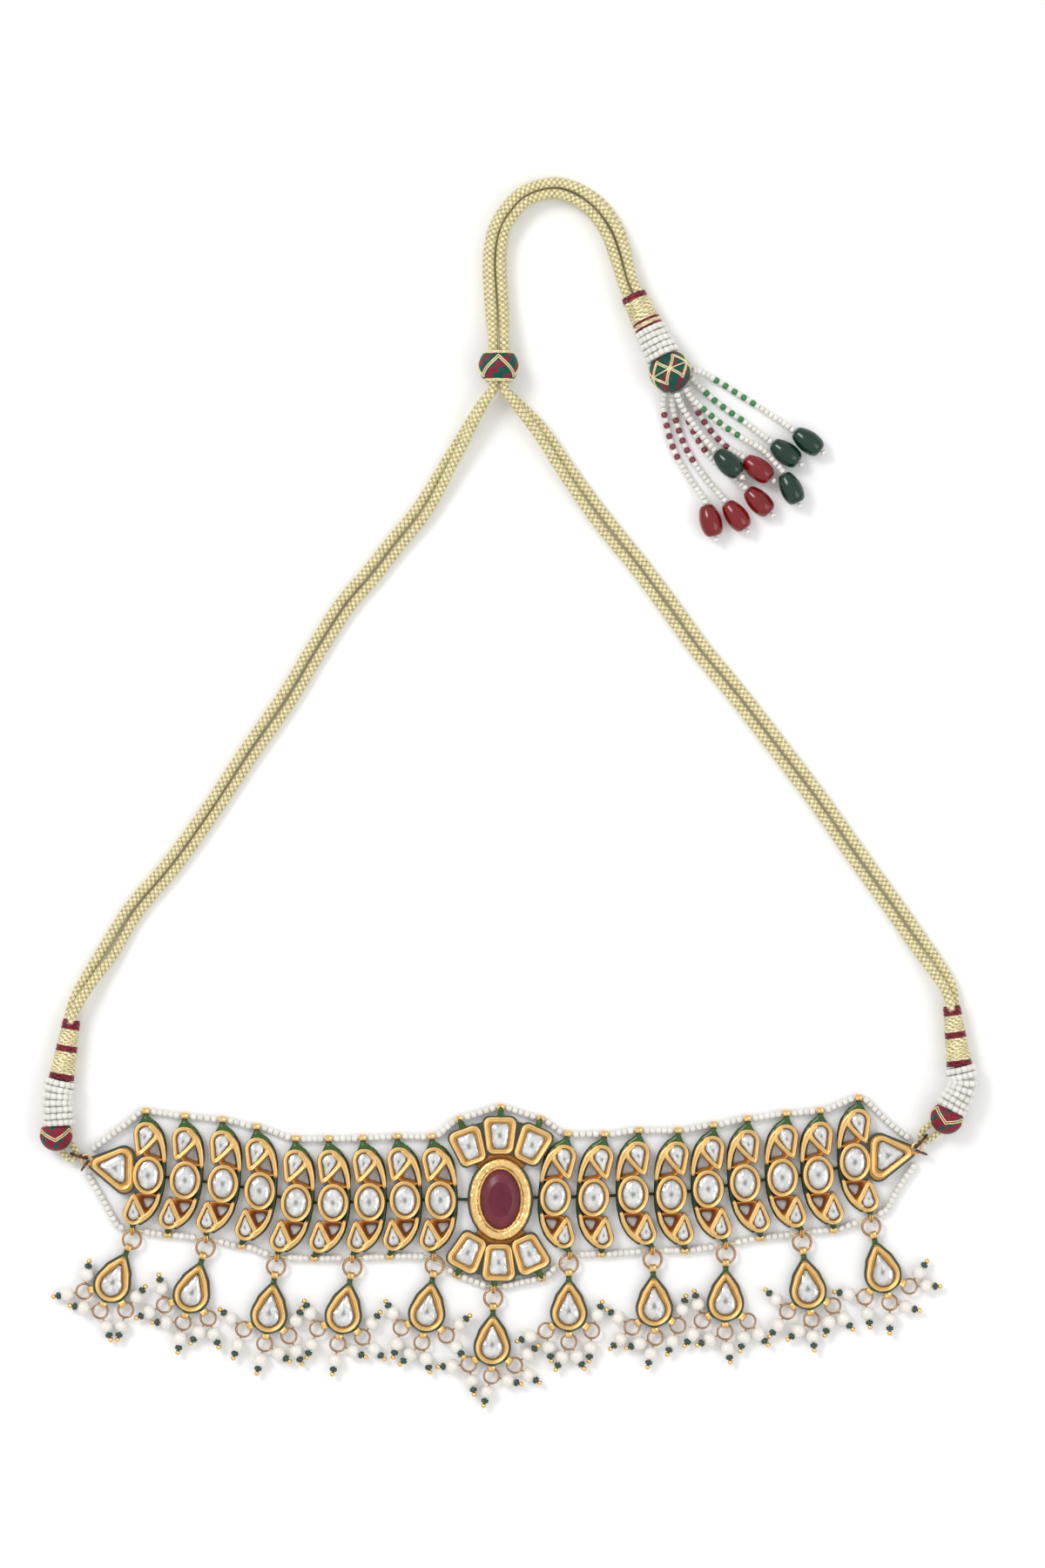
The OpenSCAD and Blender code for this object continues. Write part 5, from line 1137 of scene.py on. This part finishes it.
class NECKLACE_OT_medallion(NecklaceOperator, bpy.types.Operator):
    """Tooled frame of the ruby, petal bands, gaps, hoods and lugs of the centre medallion"""
    bl_idname = "necklace.medallion"
    bl_label = "Centre medallion"

    def execute(self, context):
        c, sizes = self.looks()
        n = 2 * sizes.path_steps
        path, normals = oval_outline(11.45, 15.85, [0, 0], 0, n)
        broad = np.array([[1.26, 1.6], [1.26, 2.5], [1.14, 2.85], [0.85, 3.02], [0.5, 3.08], [0.1, 3.1],
                          [-0.3, 3.05], [-0.62, 2.9], [-0.74, 2.74], [-0.9, 2.84], [-1.06, 2.82],
                          [-1.2, 2.5], [-1.22, 1.6]])
        # Painted shade: the frame turns to the groove colour on its walls, in its groove and on its inner slope
        share = [0.7, 0.35, 0.1, 0, 0, 0, 0.05, 0.35, 0.8, 0.1, 0.1, 0.6, 0.9]
        shade = blend_colours(c.gold, c.groove, share)
        piece("ruby_frame", band(path, normals, broad, shade), "tooled gold")
        gold, green, gap = [], [], []
        for p in PETALS:
            rows = in_petal(p, [[-2.0, 2.42, 1.1], [2.0, 2.42, 1.1], [1.4, -2.5, 1.05], [-1.4, -2.5, 1.05]])
            path, normals = round_outline(rows, n)
            # The petal bands carry the painted groove shade as well
            gold.append(band(path, normals, rolled(sizes.band_top + 0.06, 0.64), rolled_gold_painted_shade(c)))
        for up in (1, -1):
            t = np.radians(np.linspace(-40, 40, 30))
            rows = np.column_stack([7.4 * np.sin(t), up * 9.75 * np.cos(t), np.full(30, 0.75)])
            low = np.array([[1, 1.55], [1, 1.74], [0, 1.78], [-1, 1.74], [-1, 1.55]])
            # Painted shade: a strip of amber at 0.45 lies in the crevice between the ruby frame and the petals
            gap.append(bar(rows if up > 0 else rows[::-1], low, 0.45 * np.array(c.amber), step=0.5))
        for p in CENTRE_TOP + CENTRE_FOOT + [CENTRE_RING]:
            tip = [p[0], p[1] - math.copysign(0.2, p[1]), 0.45]
            green.append(hood([[p[3], p[4], 0.95], tip], 1.6, 2.3, CENTRE_GREEN))
            gold.append(lug_collar(p[:2], p[2], RING_LUG if p is CENTRE_RING else PLAIN_LUG, c.gold))
        piece("medallion_bands", joined(gold), "rolled gold")
        piece("medallion_enamel", joined(green), "glossy enamel")
        piece("medallion_gaps", joined(gap), "foil lining")
        return {"FINISHED"}


class NECKLACE_OT_drops(NecklaceOperator, bpy.types.Operator):
    """Pear bands, enamel hoods, bails and side lugs of the eleven drops"""
    bl_idname = "necklace.drops"
    bl_label = "Pear drops"

    def execute(self, context):
        c, sizes = self.looks()
        gold, green = [], []
        for d in DROPS:
            path, normals = round_outline(in_drop(d, [[0, -9.1, 3.24], [0, -6.6, 2.27], [0, -3.5, 0.55]]),
                                          sizes.path_steps + 16)
            # The pear bands carry the painted groove shade as well
            gold.append(band(path, normals, rolled(sizes.band_top, 0.53), rolled_gold_painted_shade(c)))
            bail, head = drop_places(d)
            gold.append(collar([*bail, 1.6], level_aim(d[2]), 0.6, 0.99, 1.44, c.gold))
            green.append(hood(in_drop(d, [[0, -2.9, 0.95], [0, -1.1, 0.5]]), 1.6, 2.5, HEAD_GREEN))
            for s in (-1, 0, 1):
                way = d[2] + s * HEAD_TURN
                out = level_aim(way - 90)[:2]
                gold.append(collar([*(head + 4.85 * out), 1.6], level_aim(way), 0.54, 0.89, 1.44, c.gold))
                rows = [[*(head + 3.9 * out), 0.9], [*(head + 4.5 * out), 0.5]]
                green.append(hood(rows, 1.6, 2.3, LUG_GREEN))
        piece("drop_bands", joined(gold), "rolled gold")
        piece("drop_enamel", joined(green), "glossy enamel")
        return {"FINISHED"}


class NECKLACE_OT_stones(NecklaceOperator, bpy.types.Operator):
    """Foiled stones of the links, petals, ends and drops"""
    bl_idname = "necklace.stones"
    bl_label = "Foiled stones"

    def execute(self, context):
        c, _ = self.looks()
        rng = np.random.default_rng(11)

        def cut(path, middle):
            """An uncut stone: 18 corners, rings shrunk to the middle with a little jitter, a flat table, foil
            greyed down the rim as painted shade, and a small painted dark culet point seen through it."""
            middle = np.asarray(middle, float)
            jitter = 1 + rng.normal(0, 0.05, (len(path), 1))
            rings = [(0.0, 1.62, 0), (0.9, 1.62, 0), (1.0, 2.4, 0), (0.82 * jitter, 2.78, 0.55),
                     (0.60, 3.0, 0.9), (0.32 * jitter, 3.0, 1.0), (0.08 * jitter, 3.0, -1), (0.0, 3.0, -1)]
            points = np.stack([np.column_stack([middle + share * (path - middle), np.full(len(path), z)])
                               for share, z, _ in rings], axis=1)
            tone = np.array([r[2] for r in rings], float)
            # Painted shade: the foil greys down the sloping rim and is brightest on the flat table
            shade = blend_colours(c.foil_rim_shade, c.foil, np.clip(tone, 0, 1))
            # A painted dark point in the middle stands for the culet seen through the table
            shade[tone < 0] = np.array(c.foil_rim_shade) * 0.75
            each = rng.uniform(0.82, 1.08, (len(path), 1, 1))
            return grid(points, shade[None] * each, wrap_v=False)

        groups = {"stones_" + key: [] for key in ("upper", "oval", "lower", "end", "petal", "pear")}
        n = 18
        for side, k in EACH_LINK:
            spin = -side * link_row(side, k)[2]
            mid = in_link(side, k, [[0, 0, 0], [-1.05, 8.6, 0], [-3.05, -8.25, 0], [-7.5, 1.3, 0]])[:, :2]
            upper, lower = (round_outline(in_link(side, k, grown(seat, -0.1)), n)[0]
                            for seat in (UPPER_SEAT, LOWER_SEAT))
            groups["stones_upper"].append(cut(upper, mid[1]))
            groups["stones_oval"].append(cut(oval_outline(4.9, 6.6, mid[0], spin, n)[0], mid[0]))
            groups["stones_lower"].append(cut(lower, mid[2]))
            if k == LINKS:
                end, _ = round_outline(in_link(side, k, TRIANGLE_STONE), n)
                groups["stones_end"].append(cut(end, mid[3]))
        for p in PETALS:
            rows = in_petal(p, [[-1.3, 1.95, 0.97], [1.3, 1.95, 0.97], [0.8, -2.1, 0.97], [-0.8, -2.1, 0.97]])
            groups["stones_petal"].append(cut(round_outline(rows, n)[0], p[:2]))
        for d in DROPS:
            rows = in_drop(d, [[0, -9.2, 2.5], [0, -4.4, 0.35], [0, -8.4, 0]])
            groups["stones_pear"].append(cut(round_outline(rows[:2], n)[0], rows[2, :2]))
        for key, parts in groups.items():
            piece(key + "_cut", joined(parts), "foiled stone", [key], smooth=False)
        return {"FINISHED"}


class NECKLACE_OT_ruby(NecklaceOperator, bpy.types.Operator):
    """The oval ruby: frosted bevel and a flat dark red table"""
    bl_idname = "necklace.ruby"
    bl_label = "Ruby"

    def execute(self, context):
        c, _ = self.looks()
        path, _ = oval_outline(8.9, 13.3, [0, 0], 0, 72)
        levels = [[0, 1.62], [0.86, 1.62], [1, 2.6], [0.985, 2.75], [0.86, 3.68], [0.845, 3.74],
                  [0.615, 4.16], [0.6, 4.2], [0.58, 4.2], [0.3, 4.2], [0, 4.2]]
        share = [0.3, 0.3, 0.7, 0.8, 0.85, 1.0, 1.0, 0.4, 0.0, 0.0, 0.0]
        shades = blend_colours(c.ruby, c.frost, share)
        piece("ruby_cut", dome(path, np.zeros(2), levels, shades), "frosted ruby", ["ruby"])
        return {"FINISHED"}


class NECKLACE_OT_pearls(NecklaceOperator, bpy.types.Operator):
    """Button pearls and green seed beads on the pins of the drops, and the rings and pins themselves"""
    bl_idname = "necklace.pearls"
    bl_label = "Pearls"

    def execute(self, context):
        c, _ = self.looks()
        feet, aims, rings = all_pins()
        rng = np.random.default_rng(5)
        t = np.linspace(-math.pi / 2, math.pi / 2, 11)
        round_profile = np.column_stack([np.sin(t), np.cos(t) ** 0.9])
        at = feet + PEARL_OUT * aims
        along, across = rng.uniform(1.38, 1.62, len(at)), rng.uniform(1.55, PEARL_R, len(at))
        piece("pearl_buttons", beads(at, aims, along, across, c.pearl, round_profile, 16), "pearl skin",
              ["pearls"])
        piece("pin_beads", beads(feet + (PEARL_OUT + PEARL_R + 0.42) * aims, aims, 0.82, 0.90, c.bottle),
              "glass bead")
        tips = feet + (PEARL_OUT + PEARL_R + SEED_ROOM + BALL_R) * aims
        wire = [torus(middle, UP, LOOP_R, LOOP_WIRE, 30, np.array(c.rose)) for middle in rings]
        # The pins are gold at 0.72 of its colour
        darker_gold = 0.72 * np.array(c.gold)
        wire += [straight_tube([foot, tip], PIN_R, 8, darker_gold) for foot, tip in zip(feet, tips)]
        wire.append(beads(tips, aims, BALL_R, BALL_R, c.gold, np.column_stack([np.sin(t), np.cos(t)]), 14))
        piece("pearl_rings_wire", joined(wire), "painted wire", ["pearl_rings"])
        return {"FINISHED"}


class NECKLACE_OT_borders(NecklaceOperator, bpy.types.Operator):
    """The two border strings of seed beads"""
    bl_idname = "necklace.borders"
    bl_label = "Border strings"

    def execute(self, context):
        c, sizes = self.looks()
        border("border_top", top_runs(), c, sizes)
        border("border_foot", foot_runs(), c, sizes)
        return {"FINISHED"}


class NECKLACE_OT_ends(NecklaceOperator, bpy.types.Operator):
    """Braid loops, thread balls, bead sleeves and thread wraps at both ends of the choker"""
    bl_idname = "necklace.ends"
    bl_label = "Ends"

    def execute(self, context):
        c, sizes = self.looks()
        loops, balls, lines, rings, wraps = [], [], [], [], []
        for side, way, ball, foot, bend, top, wrap_way in ENDS:
            eye = in_link(side, LINKS, [EYE])[0, :2]
            aim, left = level_aim(way)[:2], level_aim(way + 90)[:2]
            turn_at = eye + 2 * 1.85 * aim + side * 0.44 * left
            run = np.array(ball) - turn_at
            ahead, across = unit(run), np.array([-unit(run)[1], unit(run)[0]])
            t = np.radians(np.linspace(90, 270, 9))
            bow = turn_at + 1.3 * (np.cos(t)[:, None] * ahead + np.sin(t)[:, None] * across)
            legs = turn_at + 1.3 * across * np.array([[1], [-1]]) + (np.linalg.norm(run) - 2.6) * ahead
            route = np.vstack([legs[:1], bow, legs[1:]])
            route = np.column_stack([route, np.full(len(route), 2.25)])
            loops.append(braided(route, 0.72, sizes, c, 0.2, around=16, across=3)[2])

            foot, bend, top, ball = (np.array(p) for p in (foot, bend, top, ball))
            aim = unit(bend - foot)
            flat_at = float((foot - ball) @ aim) - ROOM
            middle = np.array([*ball, 3.75])
            axis = np.array([*aim, 0.0])
            balls.append(thread_ball(middle, axis, 3.66, -3.659, min(flat_at, 3.6), c, 3, 0.25, (-1.5, -0.9)))
            lines.append(ball_lines(middle, axis, 3.70, c, 3, 1.1, [0.25], gap=0.26, wire=0.14))
            line = np.array([[*foot, 3.75], [*bend, 3.75], [*top, 3.75]])
            at, aims = strung(line, 1.48)
            rings.append(sleeve(at, aims, np.full(len(at), 3.68), 14, 0.80, c, 7 + side))
            core, _ = smooth_path(line, 0.5)
            # Painted shade: the core seen between the beads is the seed colour at 0.55
            rings.append(closed_tube(core, 2.75, 24, np.array(c.seed) * 0.55))
            start = top + ROOM * level_aim(wrap_way)[:2]
            bands = [(0.093, c.maroon), (0.467, c.zari), (0.573, c.maroon), (0.84, c.zari), (1.0, c.maroon)]
            wraps.append(wrapped([*start, 3.0], level_aim(wrap_way), 13.5, 2.86, 1.93, bands, sizes, slant=2.0))
        piece("braid_loops_braid", joined(loops), "metal braid", ["braid_loops"])
        piece("end_balls_silk", joined(balls), "silk thread", ["end_balls"])
        piece("end_balls_lines", joined(lines), "metal thread")
        piece("end_sleeves_beads", joined(rings), "glass bead", ["end_sleeves"])
        piece("end_wraps_thread", joined(wraps), "metal thread", ["end_wraps"])
        return {"FINISHED"}


class NECKLACE_OT_slider(NecklaceOperator, bpy.types.Operator):
    """The thread-wound slider bead with its gold zigzags and rims"""
    bl_idname = "necklace.slider"
    bl_label = "Slider"

    def execute(self, context):
        c, _ = self.looks()
        axis = np.array([0.0, 1.0, 0.0])
        edge = math.sqrt(4.5 ** 2 - 2.95 ** 2)
        ball = thread_ball(SLIDER_AT, axis, 4.46, -edge, edge, c, 3, 0.75, (1.2, 0.7), bore=2.95)
        piece("slider_silk", ball, "silk thread", ["slider"])
        lines = [ball_lines(SLIDER_AT, axis, 4.48, c, 3, 2.2, [0.75], gap=0.3, wire=0.17)]
        for s in (-1, 1):
            for r, back in ((3.1, 0.12), (3.34, 0.42)):
                rim = SLIDER_AT + s * (edge - back) * axis
                lines.append(torus(rim, axis, r, 0.19, 60, np.array(c.zari), ribs=6))
        piece("slider_lines", joined(lines), "metal thread")
        return {"FINISHED"}


class NECKLACE_OT_tassel(NecklaceOperator, bpy.types.Operator):
    """Thread wrap, bead sleeve, ball, checked bead strings and glass drops of the tassel"""
    bl_idname = "necklace.tassel"
    bl_label = "Tassel"

    def execute(self, context):
        c, sizes = self.looks()
        bands = [(0.17, c.maroon), (0.78, c.zari), (0.85, c.maroon), (0.96, c.zari), (1.0, c.maroon)]
        wrap = wrapped(TASSEL_TOP, TASSEL_AIM, 8.1, 2.82, 3.28, bands, sizes, slant=3.0)
        piece("tassel_wrap_thread", wrap, "metal thread", ["tassel_wrap"])
        far = 8.22 + (np.arange(5) + 0.5) * 7.4 / 5
        at = TASSEL_TOP + far[:, None] * TASSEL_AIM
        rings = sleeve(at, np.broadcast_to(TASSEL_AIM, at.shape), np.linspace(3.75, 4.2, 5), 16, 0.82, c, 21)
        # Painted shade: the core seen between the beads is the seed colour at 0.55
        core = lathe(TASSEL_TOP, TASSEL_AIM, [[8.25, 1e-4], [8.25, 2.6], [15.6, 3.2], [15.6, 1e-4]], 28,
                     np.array(c.seed) * 0.55)
        piece("tassel_sleeve_beads", joined([rings, core]), "glass bead", ["tassel_sleeve"])
        middle = TASSEL_TOP + 19.2 * TASSEL_AIM
        piece("tassel_ball_silk", thread_ball(middle, TASSEL_AIM, 4.66, -3.46, 4.659, c, 3, 0.25, (0.9, 1.2)),
              "silk thread", ["tassel_ball"])
        lines = ball_lines(middle, TASSEL_AIM, 4.70, c, 3, 2.7, [0.0, 0.5], gap=0.27, equator=True)
        piece("tassel_ball_lines", lines, "metal thread")
        rng = np.random.default_rng(31)
        seeds, glass = [], []
        steps, _ = smooth_path(np.column_stack([np.array(GLASS), np.zeros(len(GLASS))]), 0.05)
        turned_profile = np.column_stack([steps[:, 0] * 7.2, steps[:, 1] * 2.5])
        turned_profile = np.vstack([[0, 0.34], turned_profile, [7.2, 0.34]])
        for i, route in enumerate(TASSEL_STRINGS):
            route = np.array(route)
            foot, aim = route[-1], unit(route[-1] - route[-2])
            at, aims = strung(route, 1.22)
            tint = rng.uniform(0.92, 1.05, (len(at), 1)) * np.array(c.seed)
            if i in CHECKED:
                mark = np.arange(len(at)) % 2 == i % 2
                mark &= (np.arange(len(at)) > 3) & (np.arange(len(at)) < 14)
                tint[mark] = np.array(getattr(c, CHECKED[i]))
            seeds.append(beads(at, aims, 0.94, 0.79, tint))
            seeds.append(beads(foot + 8.15 * aim, aim, 0.80, 0.72, c.seed))
            seeds.append(straight_tube(np.vstack([route, foot + 9.0 * aim]), 0.19, 6, c.seed))
            tone = c.claret if i in RED_STRINGS else c.bottle
            glass.append(lathe(foot + 0.12 * aim, aim, turned_profile, 28, np.array(tone), wrap=True))
        piece("tassel_strings_beads", joined(seeds), "glass bead", ["tassel_strings"])
        piece("glass_drops_blown", joined(glass), "coloured glass", ["glass_drops"])
        return {"FINISHED"}


# The slider and the tassel come before the cord
STEPS = (NECKLACE_OT_stage, NECKLACE_OT_slider, NECKLACE_OT_tassel, NECKLACE_OT_draw_cord, NECKLACE_OT_metal,
         NECKLACE_OT_links, NECKLACE_OT_medallion, NECKLACE_OT_drops, NECKLACE_OT_stones, NECKLACE_OT_ruby,
         NECKLACE_OT_pearls, NECKLACE_OT_borders, NECKLACE_OT_ends)


class NECKLACE_PT_panel(bpy.types.Panel):
    """Lists the sizes, the colours and the steps"""
    bl_idname = "NECKLACE_PT_panel"
    bl_label = "Kundan Necklace"
    bl_space_type = "VIEW_3D"
    bl_region_type = "UI"
    bl_category = "Necklace"

    def draw(self, context):
        for group in (context.scene.necklace_sizes, context.scene.necklace_colours):
            box = self.layout.box()
            for key in group.__annotations__:
                box.prop(group, key)
        for step in STEPS:
            self.layout.operator(step.bl_idname)


CLASSES = (NecklaceColours, NecklaceSizes, *STEPS, NECKLACE_PT_panel)


def register():
    for cls in CLASSES:
        bpy.utils.register_class(cls)
    bpy.types.Scene.necklace_colours = PointerProperty(type=NecklaceColours)
    bpy.types.Scene.necklace_sizes = PointerProperty(type=NecklaceSizes)


def unregister():
    del bpy.types.Scene.necklace_colours
    del bpy.types.Scene.necklace_sizes
    for cls in reversed(CLASSES):
        bpy.utils.unregister_class(cls)


def main():
    """Registers the add-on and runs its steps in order."""
    register()
    for step in STEPS:
        place, name = step.bl_idname.split(".")
        getattr(getattr(bpy.ops, place), name)()


if __name__ == "__main__":
    main()
